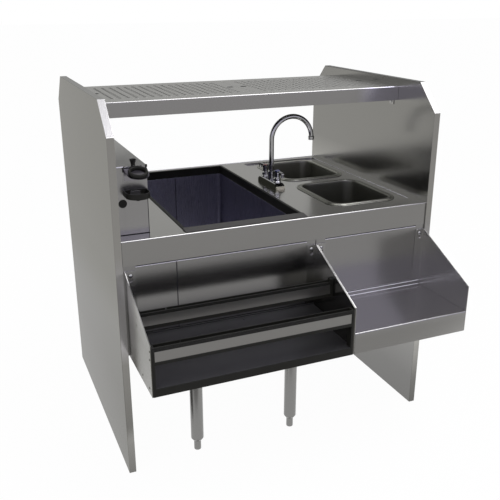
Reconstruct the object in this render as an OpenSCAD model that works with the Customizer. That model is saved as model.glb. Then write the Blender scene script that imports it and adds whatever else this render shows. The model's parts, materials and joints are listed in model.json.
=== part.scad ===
// Pass-through cocktail station: a bar sink with an ice bin, built as an assembly.
// Millimetres. +X is the bartender's right, +Y runs to the back, +Z is up.
// The origin is on the floor, under the middle of the whole outline.

/* [End panels] */
// Width over the two end panels
overall_w = 1066.8; // [990:1:1300]
// Depth of an end panel from front to back
panel_depth = 812.8; // [780:1:880]
// Height of an end panel above the deck
panel_rise = 381; // [360:1:440]
// Thickness of an end panel over its two skins
panel_t = 21.4; // [18:0.2:28]
// Leg of the 45 degree cut at a panel's upper corners
panel_cut = 88.9; // [60:1:110]
// Sheet gauge of panels, deck and body
sheet_t = 1.5; // [1.2:0.1:2]

/* [Deck] */
// Height of the deck above the floor
deck_h = 762; // [740:1:790]
// Height of the deck's front apron
apron_h = 76; // [60:1:90]
// Distance from the deck's back edge to the panels' back edges
deck_back_set = 20.9; // [12:0.1:40]
// Outside radius of the folded sheet edges that show
fold_r = 4; // [3:0.5:6]
// Height of the cabinet body below the deck, down to its underside
body_drop = 355.6; // [345:1:370]

/* [Ice bin] */
// Distance from the left end panel to the ice bin's collar
bin_from_left = 193; // [175:1:215]
// Distance from the right end panel to the ice bin's collar
bin_from_right = 436.6; // [430:0.1:520]
// Width of the collar's lip at the sides and the back
collar_lip = 9; // [7:0.5:12]
// Width of the collar's sloping front ledge
collar_ledge = 33; // [32:1:50]
// Depth of the collar's throat below the deck
collar_drop = 28; // [20:1:36]
// Thickness of the foam around the liner
foam_t = 21; // [15:1:24]
// Radius of the liner's upright corners
liner_r = 14; // [8:1:25]

/* [Sinks] */
// Width of a bowl over its stepped rim
bowl_w = 263; // [240:1:275]
// Depth of a bowl below its rim
bowl_depth = 240; // [200:1:260]
// Width of a bowl's stepped rim
bowl_rim = 21; // [16:1:26]
// Corner radius of a bowl's mouth
bowl_r = 42; // [30:1:60]
// Depth of the pressed recess around the bowls
recess_drop = 5; // [3:0.5:8]
// Radius of a drain's tailpiece
tailpiece_r = 19.05; // [16:0.5:20]

/* [Faucet] */
// Distance from the bin's collar to the faucet's centre line
faucet_from_bin = 61.7; // [56:0.5:70]
// Distance between the two valves
valve_pitch = 101.6; // [90:0.2:110]
// Length of the faucet's base
faucet_l = 172; // [165:1:185]
// Width of the faucet's base
faucet_w = 34; // [32:0.5:44]
// Height of the faucet's base
faucet_h = 19.5; // [15:0.5:24]
// Radius of the spout tube
spout_r = 8.75; // [7:0.05:10]
// Radius of the spout's arch, measured at the tube's centre
arch_r = 79; // [65:1:85]
// Height of the arch's springing above the deck
arch_spring = 161.5; // [140:0.5:180]
// Length of a valve handle from its axis
lever_l = 46; // [40:1:52]

/* [Overshelf] */
// Distance from the panels' top edges down to the shelf
shelf_drop = 25.4; // [18:0.1:60]
// Distance from the panels' front edges to the shelf
shelf_front = 205.8; // [195:0.1:240]
// Depth of the shelf
shelf_depth = 401.2; // [350:0.1:410]
// Height of the shelf's front and back flanges
shelf_flange = 46.4; // [38:0.1:55]
// Width of the shelf's solid rim around its inserts
shelf_rim = 48.2; // [40:0.1:60]
// Distance between neighbouring perforations
perf_pitch = 25.4; // [22:0.1:40]
// Radius of a perforation
perf_r = 4.75; // [3:0.05:6]

/* [Legs] */
// Radius of a leg tube
leg_r = 20.65; // [18:0.05:22]
// Distance between a pair of legs
leg_pitch = 337; // [300:1:350]
// Height of the tube's lower end above the floor
foot_h = 45; // [40:1:60]
// Radius of a foot's stem
foot_r = 11.5; // [9:0.5:14]

/* [Speed rail] */
// Width of the speed rail over its brackets
rail_w = 611.5; // [590:0.5:640]
// Reach of the rail and the landing in front of the end panels
rail_reach = 246; // [230:1:260]
// Height of a bracket's front edge
bracket_front_h = 151; // [140:1:165]
// Height of a bracket's back edge
bracket_back_h = 266.5; // [255:0.5:268]
// Gauge of the brackets
bracket_t = 2.5; // [1.5:0.1:3]
// Width of the posts at the ends of the rail's frames
post_w = 8.2; // [6:0.2:12]
// Height of the steel strip set in each frame
strip_h = 30.5; // [24:0.5:34]
// Height of the rear tier's floor above the front tier's floor
tier_rise = 36; // [28:1:44]
// Depth of the rear tier's floor
tier_depth = 66; // [55:1:80]

/* [Landing] */
// Height of the landing's floor above the underside of its brackets
landing_rise = 67.5; // [60:0.5:80]
// Height of the landing's upturned back edge
landing_lip = 14; // [10:0.5:20]

/* [Soda gun station] */
// Width of the hose chase at the left end panel
chase_w = 97.2; // [90:0.1:110]
// Distance from the panels' front edges to the chase
chase_front = 57; // [50:1:70]
// Outside radius of the holster ring
ring_r = 27.8; // [24:0.1:30]
// Width of the drip cup
cup_w = 68; // [60:1:72]
// Reach of the drip cup in front of the chase
cup_reach = 65; // [55:1:70]
// Height of the drip cup
cup_h = 15.5; // [12:0.5:18]

/* [Hidden] */
$fn = 48;

// Clearance between neighbouring pieces that don't touch
gap = 0.3;
// How far a cut runs past what it cuts
over = 1;

// Plan of the station, measured from the panels' front plane
inner_x = overall_w / 2 - panel_t;
panel_h = deck_h + panel_rise;
shelf_h = panel_h - shelf_drop;
deck_set = 4.5;
deck_back = panel_depth - deck_back_set;
face_set = 6;
rib_w = 40;
body_bottom = deck_h - body_drop;
apron_bottom = deck_h - apron_h;
// The origin lies half way between the rail's front and the panels' back
datum_y = (rail_reach - panel_depth) / 2;

// Ice bin
collar_x0 = -inner_x + bin_from_left;
collar_x1 = inner_x - bin_from_right;
collar_front_set = 8.5;
collar_y0 = deck_set + collar_front_set;
bin_back_margin = 26;
collar_y1 = deck_back - bin_back_margin;
collar_up = 2;
ledge_rise = 3;
collar_wall = 4;
throat_x0 = collar_x0 + collar_lip;
throat_x1 = collar_x1 - collar_lip;
throat_y0 = collar_y0 + collar_ledge;
throat_y1 = collar_y1 - collar_lip;
throat_bottom = deck_h - collar_drop;
throat_r = 6;
liner_t = 1.2;
frame_h = 25.4;
jacket_z0 = body_bottom + frame_h + gap;
foam_z0 = jacket_z0 + liner_t + gap;
liner_z0 = foam_z0 + foam_t + gap;
bin_mid_x = (collar_x0 + collar_x1) / 2;
bin_mid_y = (throat_y0 + throat_y1) / 2;
grate_clear = 3;
grate_leg = 22;
grate_pitch = 38;
grate_hole_r = 6.5;
grate_margin = 30;
bin_drain_r = 16.7;
bin_drain_bore_r = 13;
bin_drain_flange_r = 30;
bin_drain_drop = 48;

// Sinks
recess_margin_right = 25;
recess_margin_front = 55.5;
recess_margin_back = 28;
recess_border = 19;
recess_border_front = 22;
recess_border_back = 14;
recess_border_left = 35;
recess_r = 12;
bowl_gap = 42;
recess_x1 = inner_x - recess_margin_right;
recess_w = bowl_w + recess_border + recess_border_left;
recess_x0 = recess_x1 - recess_w;
recess_y0 = deck_set + recess_margin_front;
recess_y1 = deck_back - recess_margin_back;
recess_z = deck_h - recess_drop;
bowl_l = (recess_y1 - recess_y0 - recess_border_front - recess_border_back - bowl_gap) / 2;
bowl_x1 = recess_x1 - recess_border;
bowl_x0 = bowl_x1 - bowl_w;
bowl_front_y = recess_y0 + recess_border_front;
bowl_rear_y = bowl_front_y + bowl_l + bowl_gap;
bowl_t = 1.2;
bowl_draft = 9;
bowl_floor_r = 26;
rim_steps = 3;
rim_rise = 5;
rim_skirt = 8;
drain_flange_r = 42;
drain_well_r = 34;
drain_flange_t = 1.5;
drain_cup_h = 28;
drain_slots = 6;
drain_slot_r = 4;
drain_nut_r = 30;
drain_nut_h = 10;
tailpiece_l = 60;
tailpiece_wall = 1.6;

// Faucet
faucet_x = collar_x1 + faucet_from_bin;
faucet_shift = 20.8;
faucet_y = (deck_set + deck_back) / 2 + faucet_shift;
faucet_slope = 22;
faucet_corner_r = 9;
faucet_bevel = 3.5;
faucet_top = deck_h + faucet_h;
bonnet_r = 14.5;
bonnet_h = 19;
bonnet_neck_r = 8.5;
bonnet_neck_h = 5;
hub_r = 9.7;
hub_h = 18;
hub_seat = 0.4;
index_r = 9;
index_h = 1.2;
lever_w = 10;
lever_tip_h = 18;
lever_t = 5;
shank_r = 10.3;
shank_bore_r = 7;
shank_l = 62;
shank_hole_r = 12.5;
shank_nut_r = 19;
shank_nut_h = 8;
nut_r = 12;
nut_h = 32.5;
nut_chamfer = 3;
spout_wall = 1.1;
spout_foot = 12;
spout_fit = 0.05;
aerator_r = 11;
aerator_up = 4.5;
aerator_down = 4;
aerator_bore_r = 7.2;
outlet_drop = 6;

// Overshelf
shelf_back = shelf_front + shelf_depth;
shelf_step = 14;
shelf_ledge = 10;
insert_gap = 0.6;
insert_inset = 11.4;
shelf_y0 = shelf_front + shelf_rim;
shelf_y1 = shelf_back - shelf_rim;
shelf_mid_y = (shelf_front + shelf_back) / 2;
perf_border = 20;
perf_end_border = 40;
finger_r = 11;
finger_inset = 24;
shelf_hem = 12;
trough_t = 1.2;
trough_up = 6;
cleat_inset = 23;
cleat_l = 18;
cleat_low = 17;
cleat_t = 2;
screw_r = 2.5;
screw_head_r = 4.5;
screw_head_h = 2.2;

// Legs
leg_shift = 5;
leg_inset_front = 35;
leg_inset_rear = 37;
leg_mid_x = bin_mid_x - leg_shift;
leg_y_front = deck_set + leg_inset_front;
leg_y_rear = deck_back - leg_inset_rear;
leg_wall = 1.6;
socket_fit = 0.1;
socket_r = 25;
socket_plate = 78;
socket_plate_t = 3;
socket_l = 50;
socket_hole_r = 4;
socket_hole_pitch = 60;
rail_bar = 40;
foot_cone_h = 10;
foot_neck_r = 14;
foot_rod_r = 8;
foot_rod_l = 60;
foot_bush_h = 26;
foot_bore_fit = 0.08;

// Speed rail and landing
rail_hang = 1;
rail_inset = 4;
rail_z0 = body_bottom - rail_hang;
hang_y = face_set - gap;
rail_x0 = -inner_x + rail_inset;
rail_x1 = rail_x0 + rail_w;
unit_gap = 1;
side_gap = 0.5;
landing_x0 = rail_x1 + unit_gap;
landing_x1 = inner_x - side_gap;
front_y = -rail_reach;
bracket_flange = 32;
bracket_nose = 4;
bolt_inset = 17;
bolt_drop = 15;
bolt_r = 3.2;
bolt_slot_r = 3.6;
bolt_head_r = 6;
bolt_head_h = 4;
bolt_nut_r = 6.4;
bolt_nut_h = 5;
bolt_hole_r = 7;
lift = 12;
tray_t = 1.5;
tray_gap = 0.3;
floor_rise = 25;
floor_flange = 18;
floor_lip = 12;
tier_flange = 20;
frame_depth = 23;
top_bar_h = 12.5;
top_bar_drop = 5;
mid_bar_h = 9;
rear_frame_set = 130;
rear_frame_depth = 20;
rear_frame_rise = 34;
rear_top_bar_h = 9;
rear_bottom_bar_h = 9.5;
post_rise = 8;
strip_t = 1.2;
strip_inset = 1.6;
groove_w = 1.6;
groove_d = 1.2;
groove_count = 3;
bar_front_wall = 3;
bar_back_wall = 2.5;
bar_channel_d = 9;
bar_floor = 3;
bar_notch_w = 3;
bar_notch_left = 83.5;
bar_notch_right = 119;
frame_lip = 2;
rivet_r = 2.4;
rivet_head_r = 3.6;
rivet_head_h = 0.9;
rivet_edge = 8.5;
rivet_fit = 0.05;

// Soda gun station
chase_x0 = -inner_x + gap;
chase_x1 = chase_x0 + chase_w;
chase_room = shelf_h - shelf_flange - cleat_low - deck_h;
chase_h = chase_room * 0.68;
chase_top = deck_h + chase_h;
chase_back_set = 12;
chase_back = deck_back - chase_back_set;
hose_hole_r = 30;
holster_w = 65.3;
holster_x1 = chase_x1 - gap;
holster_x0 = holster_x1 - holster_w;
notch_w = 3.5;
notch_h = 16;
seam_w = 0.6;
seam_d = 0.5;
seam_foot = 4;
plate_t = 1.5;
plate_drop = 35;
tongue_drop = 6;
tongue_tilt = 17;
tongue_reach = 33.5;
ring_h = 11;
ring_hole_r = 20;
loop_margin = 3;
ring_x = (holster_x0 + holster_x1) / 2;
tongue_z = chase_top - tongue_drop;
cup_clear = 25.5;
cup_drop = tongue_drop + plate_drop + cup_clear;
cup_over = 5;
cup_wall = 3;
cup_floor = 3.5;
cup_drain_r = 3.5;
cup_nipple_r = 5.5;
cup_nipple_l = 9;
saddle_w = 30;
saddle_t = 3;
plug_r = 12.3;
plug_h = 2.5;
plug_stem_r = 10.3;
plug_stem_l = 8;
plug_inset = 23.8;
plug_x = chase_x0 + plug_inset;
plug_z = deck_h + chase_h * 0.47;
funnel_low_r = 6;
funnel_top_r = 9.25;
funnel_h = 16;
funnel_lip = 1.2;
funnel_bore_low = 2.6;
funnel_bore_r = 4.5;
funnel_spigot = 5;
funnel_inset = 34.6;
funnel_set = 15;
funnel_x = chase_x1 - funnel_inset;
funnel_y = chase_front + funnel_set;
clip_t = 1.6;
clip_w = 4;
clip_h = 6;

steel = [0.62, 0.62, 0.61];
steel_dark = [0.36, 0.36, 0.42];
bowl_steel = [0.3, 0.3, 0.28];
black = [0.12, 0.12, 0.11];
bright = [0.86, 0.87, 0.88];
zinc = [0.55, 0.57, 0.58];
foam_colour = [0.93, 0.86, 0.62];

// Moves what is drawn from the panels' front plane into the part's frame
module placed() {
    translate([0, datum_y, 0]) children();
}

// Extrusions of a flat outline between two places along X, Y or Z
module along_x(x0, x1) {
    translate([x0, 0, 0]) rotate([90, 0, 90]) linear_extrude(x1 - x0) children();
}
module along_y(y0, y1) {
    translate([0, y1, 0]) rotate([90, 0, 0]) linear_extrude(y1 - y0) children();
}
module along_z(z0, z1) {
    translate([0, 0, z0]) linear_extrude(z1 - z0) children();
}

// A box and a flat rectangle given by their opposite corners
module block(a, b) {
    translate(a) cube(b - a);
}
module flat(a, b) {
    translate(a) square(b - a);
}

// A flat rectangle with round corners
module flat_round(a, b, r) {
    flat([a[0] + r, a[1]], [b[0] - r, b[1]]);
    flat([a[0], a[1] + r], [b[0], b[1] - r]);
    for (x = [a[0] + r, b[0] - r], y = [a[1] + r, b[1] - r]) translate([x, y]) circle(r);
}

// A flat rectangle with its upper left corner at the origin, and that corner round
module flat_corner(a, b, r) {
    translate([r, -b]) square([a - r, b]);
    translate([0, -b]) square([a, b - r]);
    translate([r, -r]) circle(r);
}

// The section of a sheet folded down over a round edge at the origin
module fold_section(a, b, t, r) {
    difference() {
        flat_corner(a, b, r);
        translate([t, -t]) flat_corner(a - t + over, b - t + over, r - t);
    }
}

// End panels
// Outline of an end panel, drawn in by a margin all round but at the floor
function panel_outline(m) = let (k = m * (sqrt(2) - 1)) [
    [m, 0],
    [m, panel_h - panel_cut - k],
    [panel_cut + k, panel_h - m],
    [panel_depth - panel_cut - k, panel_h - m],
    [panel_depth - m, panel_h - panel_cut - k],
    [panel_depth - m, 0]
];

// Pan of an end panel: its outer skin and the edges folded round it
module end_pan(side) {
    color(steel) placed() mirror([side < 0 ? 1 : 0, 0, 0]) difference() {
        along_x(overall_w / 2 - panel_t, overall_w / 2) polygon(panel_outline(0));
        along_x(overall_w / 2 - panel_t - over, overall_w / 2 - sheet_t) {
            translate([0, -over]) polygon(panel_outline(sheet_t));
            polygon(panel_outline(sheet_t));
        }
    }
}

// Liner of an end panel: the inner skin that fills the pan's open side
module end_liner(side) {
    reach = panel_t - sheet_t;
    color(steel) placed() mirror([side < 0 ? 1 : 0, 0, 0]) {
        along_x(inner_x, inner_x + sheet_t) polygon(panel_outline(sheet_t + gap));
        for (y = [panel_depth / 3, 2 * panel_depth / 3]) difference() {
            block([inner_x + sheet_t, y, 0], [inner_x + reach - gap, y + rib_w, panel_h - panel_cut]);
            block([inner_x + sheet_t + over, y + sheet_t, -over],
                [inner_x + reach - gap - sheet_t, y + rib_w - sheet_t, panel_h]);
        }
    }
}

module left_end_pan() { end_pan(-1); }
module right_end_pan() { end_pan(1); }
module left_end_liner() { end_liner(-1); }
module right_end_liner() { end_liner(1); }

// Deck
// The deck's plan, with its openings for the bin and the hoses
module deck_plan() {
    difference() {
        flat([-inner_x + gap, deck_set + fold_r], [inner_x - gap, deck_back]);
        flat([throat_x0 - collar_wall - gap, throat_y0 - collar_wall - gap],
            [throat_x1 + collar_wall + gap, throat_y1 + collar_wall + gap]);
        flat_round([recess_x0, recess_y0], [recess_x1, recess_y1], recess_r);
        translate([(chase_x0 + chase_x1) / 2, bin_mid_y]) circle(hose_hole_r);
        for (s = [-1, 1]) translate([faucet_x, faucet_y + s * valve_pitch / 2]) circle(shank_hole_r);
    }
}

// The opening in the recess under one bowl's rim
module bowl_opening(y0) {
    inset = bowl_rim - bowl_t - 2 * gap;
    flat_round([bowl_x0 + inset, y0 + inset], [bowl_x1 - inset, y0 + bowl_l - inset], bowl_r);
}

module deck() {
    color(steel) placed() {
        along_x(-inner_x + gap, inner_x - gap) {
            translate([deck_set, deck_h]) fold_section(fold_r + over, apron_h, sheet_t, fold_r);
            flat([deck_set, apron_bottom], [deck_set + 2 * fold_r, apron_bottom + sheet_t]);
            flat([deck_back - sheet_t, deck_h - apron_h / 2], [deck_back, deck_h]);
        }
        along_z(deck_h - sheet_t, deck_h) deck_plan();
        along_z(recess_z - sheet_t, deck_h) difference() {
            flat_round([recess_x0, recess_y0], [recess_x1, recess_y1], recess_r);
            flat_round([recess_x0 + sheet_t, recess_y0 + sheet_t],
                [recess_x1 - sheet_t, recess_y1 - sheet_t], recess_r - sheet_t);
        }
        along_z(recess_z - sheet_t, recess_z) difference() {
            flat_round([recess_x0, recess_y0], [recess_x1, recess_y1], recess_r);
            bowl_opening(bowl_front_y);
            bowl_opening(bowl_rear_y);
        }
    }
}

// Body
seam_inset = 34;
seam_left_x = collar_x0 - seam_inset;
seam_right_x = rail_x1 - unit_gap / 2;
panel_seam = 1.2;
panel_return = 14;
panel_top = apron_bottom - 2 * gap;

// One front panel: a face with edges turned back above the base frame
module front_panel(x0, x1) {
    low = body_bottom + frame_h + 2 * gap;
    color(steel) placed() {
        difference() {
            block([x0, face_set, body_bottom], [x1, face_set + sheet_t, panel_top]);
            along_y(face_set - over, face_set + sheet_t + over)
                for (x = bolt_xs) translate([x, bolt_z]) circle(bolt_r + gap);
        }
        for (x = [x0, x1 - sheet_t])
            block([x, face_set + sheet_t, low], [x + sheet_t, face_set + panel_return, panel_top]);
        block([x0, face_set + sheet_t, panel_top - sheet_t], [x1, face_set + panel_return, panel_top]);
    }
}
module front_panel_left() { front_panel(-inner_x + gap, seam_left_x - panel_seam / 2); }
module front_panel_middle() { front_panel(seam_left_x + panel_seam / 2, seam_right_x - panel_seam / 2); }
module front_panel_right() { front_panel(seam_right_x + panel_seam / 2, inner_x - gap); }

module back_panel() {
    y1 = deck_back - sheet_t - gap;
    y0 = y1 - sheet_t;
    color(zinc) placed() {
        block([-inner_x + gap, y0, body_bottom], [inner_x - gap, y1, deck_h - sheet_t - gap]);
    }
}

// Base frame: channels under the body, with two cross channels over the legs
module base_frame() {
    z1 = body_bottom + frame_h;
    y0 = face_set + sheet_t + gap;
    y1 = deck_back - 2 * sheet_t - 2 * gap;
    x1 = inner_x - gap;
    low = body_bottom;
    color(zinc) placed() {
        for (y = [y0, y1 - rail_bar / 2]) difference() {
            block([-x1, y, low], [x1, y + rail_bar / 2, z1]);
            block([-x1 - over, y + sheet_t, low - over], [x1 + over, y + rail_bar / 2 - sheet_t, z1 - sheet_t]);
        }
        for (x = [leg_mid_x - leg_pitch / 2, leg_mid_x + leg_pitch / 2, recess_x1 - rail_bar / 2])
            difference() {
                block([x - rail_bar / 2, y0 + rail_bar / 2, low], [x + rail_bar / 2, y1 - rail_bar / 2, z1]);
                block([x - rail_bar / 2 + sheet_t, y0, low - over],
                    [x + rail_bar / 2 - sheet_t, y1, z1 - sheet_t]);
            }
    }
}

// Ice bin
module throat_plan(m, r) {
    flat_round([throat_x0 - m, throat_y0 - m], [throat_x1 + m, throat_y1 + m], r);
}

// Collar: a moulded lip on the deck, a sloping front ledge and a throat that goes down
module bin_collar() {
    top = deck_h + collar_up;
    color(black) placed() difference() {
        union() {
            block([collar_x0, throat_y0 - collar_lip, deck_h + gap / 3], [collar_x1, collar_y1, top]);
            along_x(collar_x0, collar_x1) polygon([
                [collar_y0, deck_h + gap / 3],
                [collar_y0, deck_h + collar_up / 2],
                [collar_y0 + collar_up, top],
                [throat_y0 - collar_up, top + ledge_rise],
                [throat_y0, top + ledge_rise],
                [throat_y0, deck_h + gap / 3]
            ]);
            along_z(throat_bottom, top) throat_plan(collar_wall, throat_r);
        }
        along_z(throat_bottom - over, top + ledge_rise + over) throat_plan(0, throat_r - collar_wall / 2);
    }
}

// Liner: a folded box with coved corners, a turned-out top edge and a drain hole
module bin_liner() {
    top = throat_bottom - gap;
    color(steel_dark) placed() difference() {
        union() {
            along_z(liner_z0, top) throat_plan(liner_t, liner_r + liner_t);
            along_z(top - liner_t, top) throat_plan(foam_t, liner_r);
        }
        along_z(liner_z0 + liner_t, top + over) throat_plan(0, liner_r);
        translate([bin_mid_x, bin_mid_y, liner_z0 - over]) cylinder(r = bin_drain_r + gap, h = foam_t);
    }
}

// Foam between the liner and the jacket
module bin_insulation() {
    color(foam_colour) placed() difference() {
        along_z(foam_z0, throat_bottom - liner_t - 2 * gap) throat_plan(liner_t + foam_t, liner_r);
        along_z(liner_z0 - gap, deck_h) throat_plan(liner_t + gap, liner_r + liner_t);
        translate([bin_mid_x, bin_mid_y, foam_z0 - over]) cylinder(r = bin_drain_r + gap, h = 3 * foam_t);
    }
}

// Jacket: the outer box that carries the foam and stands on the base frame
module bin_jacket() {
    m = liner_t + foam_t + gap;
    color(zinc) placed() difference() {
        along_z(jacket_z0, throat_bottom - liner_t - 2 * gap) throat_plan(m + liner_t, liner_r);
        along_z(foam_z0 - gap, deck_h) throat_plan(m, liner_r - liner_t);
        translate([bin_mid_x, bin_mid_y, jacket_z0 - over]) cylinder(r = bin_drain_r + gap, h = foam_t);
    }
}

// False bottom: a perforated sheet on two folded legs, lifted out for cleaning
module bin_false_bottom() {
    x0 = throat_x0 + grate_clear;
    x1 = throat_x1 - grate_clear;
    y0 = throat_y0 + grate_clear;
    y1 = throat_y1 - grate_clear;
    z0 = liner_z0 + liner_t + gap;
    nx = floor((x1 - x0 - 2 * grate_margin) / grate_pitch);
    ny = floor((y1 - y0 - 2 * grate_margin) / grate_pitch);
    color(steel) placed() {
        along_z(z0 + grate_leg - sheet_t, z0 + grate_leg) difference() {
            flat_round([x0, y0], [x1, y1], liner_r);
            for (i = [0:nx], j = [0:ny])
                translate([bin_mid_x + (i - nx / 2) * grate_pitch, bin_mid_y + (j - ny / 2) * grate_pitch])
                    circle(grate_hole_r);
        }
        for (x = [x0, x1 - sheet_t])
            block([x, y0 + liner_r, z0], [x + sheet_t, y1 - liner_r, z0 + grate_leg - sheet_t]);
    }
}

// Drain fitting: a flange in the liner and a nipple through the foam
module bin_drain() {
    z = liner_z0 + liner_t;
    color(bright) placed() translate([bin_mid_x, bin_mid_y, 0]) difference() {
        union() {
            translate([0, 0, z + gap / 3]) cylinder(r = bin_drain_flange_r, h = drain_flange_t);
            translate([0, 0, z - bin_drain_drop]) cylinder(r = bin_drain_r, h = bin_drain_drop + drain_flange_t);
        }
        translate([0, 0, z - bin_drain_drop - over]) cylinder(r = bin_drain_bore_r, h = 2 * bin_drain_drop);
    }
}

// Sinks
// A tapered well with a round-edged floor, drawn in by a margin
module bowl_well(y0, m, top) {
    x0 = bowl_x0 + bowl_rim + m;
    x1 = bowl_x1 - bowl_rim - m;
    y1 = y0 + bowl_rim + m;
    y2 = y0 + bowl_l - bowl_rim - m;
    r = bowl_r - m;
    low = recess_z + rim_rise - bowl_depth;
    fr = bowl_floor_r;
    inset = bowl_draft + r;
    hull() {
        for (x = [x0 + r, x1 - r], y = [y1 + r, y2 - r])
            translate([x, y, top - over]) cylinder(r = r, h = over, $fn = 32);
        for (x = [x0 + inset, x1 - inset], y = [y1 + inset, y2 - inset])
            translate([x, y, low + m + fr]) {
                cylinder(r = r, h = over, $fn = 32);
                translate([0, 0, -fr]) cylinder(r = r - fr / 2, h = over, $fn = 32);
                translate([0, 0, -fr / 2]) cylinder(r = r - fr / 8, h = over, $fn = 32);
            }
    }
}

// One bowl: a rim of pressed steps, a tapered well and a hole for the drain
module sink_bowl(y0) {
    rim_z = recess_z + rim_rise;
    step = bowl_rim / rim_steps;
    mx = (bowl_x0 + bowl_x1) / 2;
    my = y0 + bowl_l / 2;
    color(bowl_steel) placed() difference() {
        union() {
            for (i = [0:rim_steps - 1])
                along_z(recess_z + gap / 3, recess_z + gap / 3 + rim_rise * (i + 1) / rim_steps)
                    flat_round([bowl_x0 + i * step, y0 + i * step],
                        [bowl_x1 - i * step, y0 + bowl_l - i * step], bowl_r + bowl_rim - i * step);
            bowl_well(y0, -bowl_t, rim_z);
        }
        bowl_well(y0, 0, rim_z + rim_rise);
        translate([mx, my, rim_z - bowl_depth - rim_skirt])
            cylinder(r = drain_well_r + gap, h = 2 * rim_skirt);
    }
}
module sink_bowl_front() { sink_bowl(bowl_front_y); }
module sink_bowl_rear() { sink_bowl(bowl_rear_y); }

// Drain of a bowl: a flanged cup with a slotted floor, its lock nut and tailpiece
module sink_drain(y0) {
    z = recess_z + rim_rise - bowl_depth + gap / 3;
    translate([(bowl_x0 + bowl_x1) / 2, y0 + bowl_l / 2, 0]) {
        difference() {
            union() {
                translate([0, 0, z]) cylinder(r = drain_flange_r, h = drain_flange_t);
                translate([0, 0, z - drain_cup_h]) cylinder(r = drain_well_r, h = drain_cup_h);
                translate([0, 0, z - drain_cup_h - tailpiece_l])
                    cylinder(r = tailpiece_r, h = tailpiece_l);
            }
            translate([0, 0, z - drain_cup_h + 2 * tailpiece_wall])
                cylinder(r = drain_well_r - tailpiece_wall, h = drain_cup_h + over);
            for (k = [0:drain_slots - 1]) rotate([0, 0, k * 360 / drain_slots])
                translate([tailpiece_r / 2, 0, z - drain_cup_h - over])
                    cylinder(r = drain_slot_r, h = drain_cup_h);
            translate([0, 0, z - drain_cup_h - tailpiece_l - over])
                cylinder(r = tailpiece_r - tailpiece_wall, h = tailpiece_l + over);
        }
        translate([0, 0, z - 2 * bowl_t - drain_nut_h]) difference() {
            cylinder(r = drain_nut_r + drain_nut_h, h = drain_nut_h);
            translate([0, 0, -over]) cylinder(r = drain_well_r + gap, h = drain_nut_h + 2 * over);
        }
    }
}
module sink_drains() {
    color(bright) placed() {
        sink_drain(bowl_front_y);
        sink_drain(bowl_rear_y);
    }
}

// Faucet
// Section of the faucet's base, with a low foot and shoulders that lean in
module base_section(w, h, low, lean) {
    polygon([[-w / 2, 0], [-w / 2, low], [-w / 2 + lean, h], [w / 2 - lean, h], [w / 2, low], [w / 2, 0]]);
}

module faucet_base() {
    half_l = faucet_l / 2;
    color(bright) placed() translate([faucet_x, faucet_y, deck_h]) difference() {
        intersection() {
            along_y(-half_l, half_l) base_section(faucet_w, faucet_h, faucet_h - faucet_bevel, faucet_bevel);
            along_x(-faucet_w, faucet_w) base_section(faucet_l, faucet_h, faucet_bevel, faucet_slope);
            along_z(0, faucet_h) flat_round([-faucet_w / 2, -half_l], [faucet_w / 2, half_l], faucet_corner_r);
        }
        translate([0, 0, faucet_h - spout_foot]) cylinder(r = spout_r + spout_fit, h = spout_foot + over);
        for (s = [-1, 1]) translate([0, s * valve_pitch / 2, -over])
            cylinder(r = shank_r + gap, h = faucet_h / 2 + over);
    }
}

// Bonnets: the turned housings that stand on the base over each valve
module valve_bonnets() {
    h = bonnet_h;
    color(bright) placed() for (s = [-1, 1])
        translate([faucet_x, faucet_y + s * valve_pitch / 2, faucet_top + gap / 3]) rotate_extrude()
            polygon([[0, 0], [bonnet_r, 0], [bonnet_r, h / 6], [bonnet_r * 0.86, h / 3],
                [bonnet_r * 0.86, h * 0.8], [bonnet_neck_r, h], [bonnet_neck_r, h + bonnet_neck_h],
                [0, h + bonnet_neck_h]]);
}

// Threaded supply shanks with their lock nuts under the deck
module faucet_shanks() {
    nut_z = deck_h - sheet_t - gap - shank_nut_h;
    color(bright) placed() for (s = [-1, 1]) translate([faucet_x, faucet_y + s * valve_pitch / 2, 0]) {
        difference() {
            translate([0, 0, deck_h - shank_l]) cylinder(r = shank_r, h = shank_l + faucet_h / 2 - gap);
            translate([0, 0, deck_h - shank_l - over]) cylinder(r = shank_bore_r, h = shank_l);
        }
        translate([0, 0, nut_z]) difference() {
            cylinder(r = shank_nut_r, h = shank_nut_h, $fn = 6);
            translate([0, 0, -over]) cylinder(r = shank_r + gap / 3, h = shank_nut_h + 2 * over);
        }
    }
}

// Gooseneck: a riser that turns in the base, a half-circle arch and a short drop
module faucet_spout() {
    z_low = faucet_top - spout_foot + gap;
    z_arch = deck_h + arch_spring;
    inner = spout_r - spout_wall;
    color(bright) placed() translate([faucet_x, faucet_y, 0]) {
        difference() {
            translate([0, 0, z_low]) cylinder(r = spout_r, h = z_arch - z_low);
            translate([0, 0, z_low - over]) cylinder(r = inner, h = z_arch - z_low + 2 * over);
        }
        translate([arch_r, 0, z_arch]) rotate([90, 0, 0]) rotate_extrude(angle = 180)
            translate([arch_r, 0]) difference() {
                circle(spout_r);
                circle(inner);
            }
        translate([2 * arch_r, 0, z_arch - outlet_drop]) difference() {
            cylinder(r = spout_r, h = outlet_drop);
            translate([0, 0, -over]) cylinder(r = inner, h = outlet_drop + 2 * over);
        }
    }
}

// Nut that holds the gooseneck down on the base
module spout_nut() {
    color(bright) placed() translate([faucet_x, faucet_y, faucet_top + gap / 3]) difference() {
        union() {
            cylinder(r = nut_r, h = nut_h - nut_chamfer);
            translate([0, 0, nut_h - nut_chamfer]) cylinder(r1 = nut_r, r2 = nut_r - nut_chamfer, h = nut_chamfer);
        }
        translate([0, 0, -over]) cylinder(r = spout_r + spout_fit, h = nut_h + 2 * over);
    }
}

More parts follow.
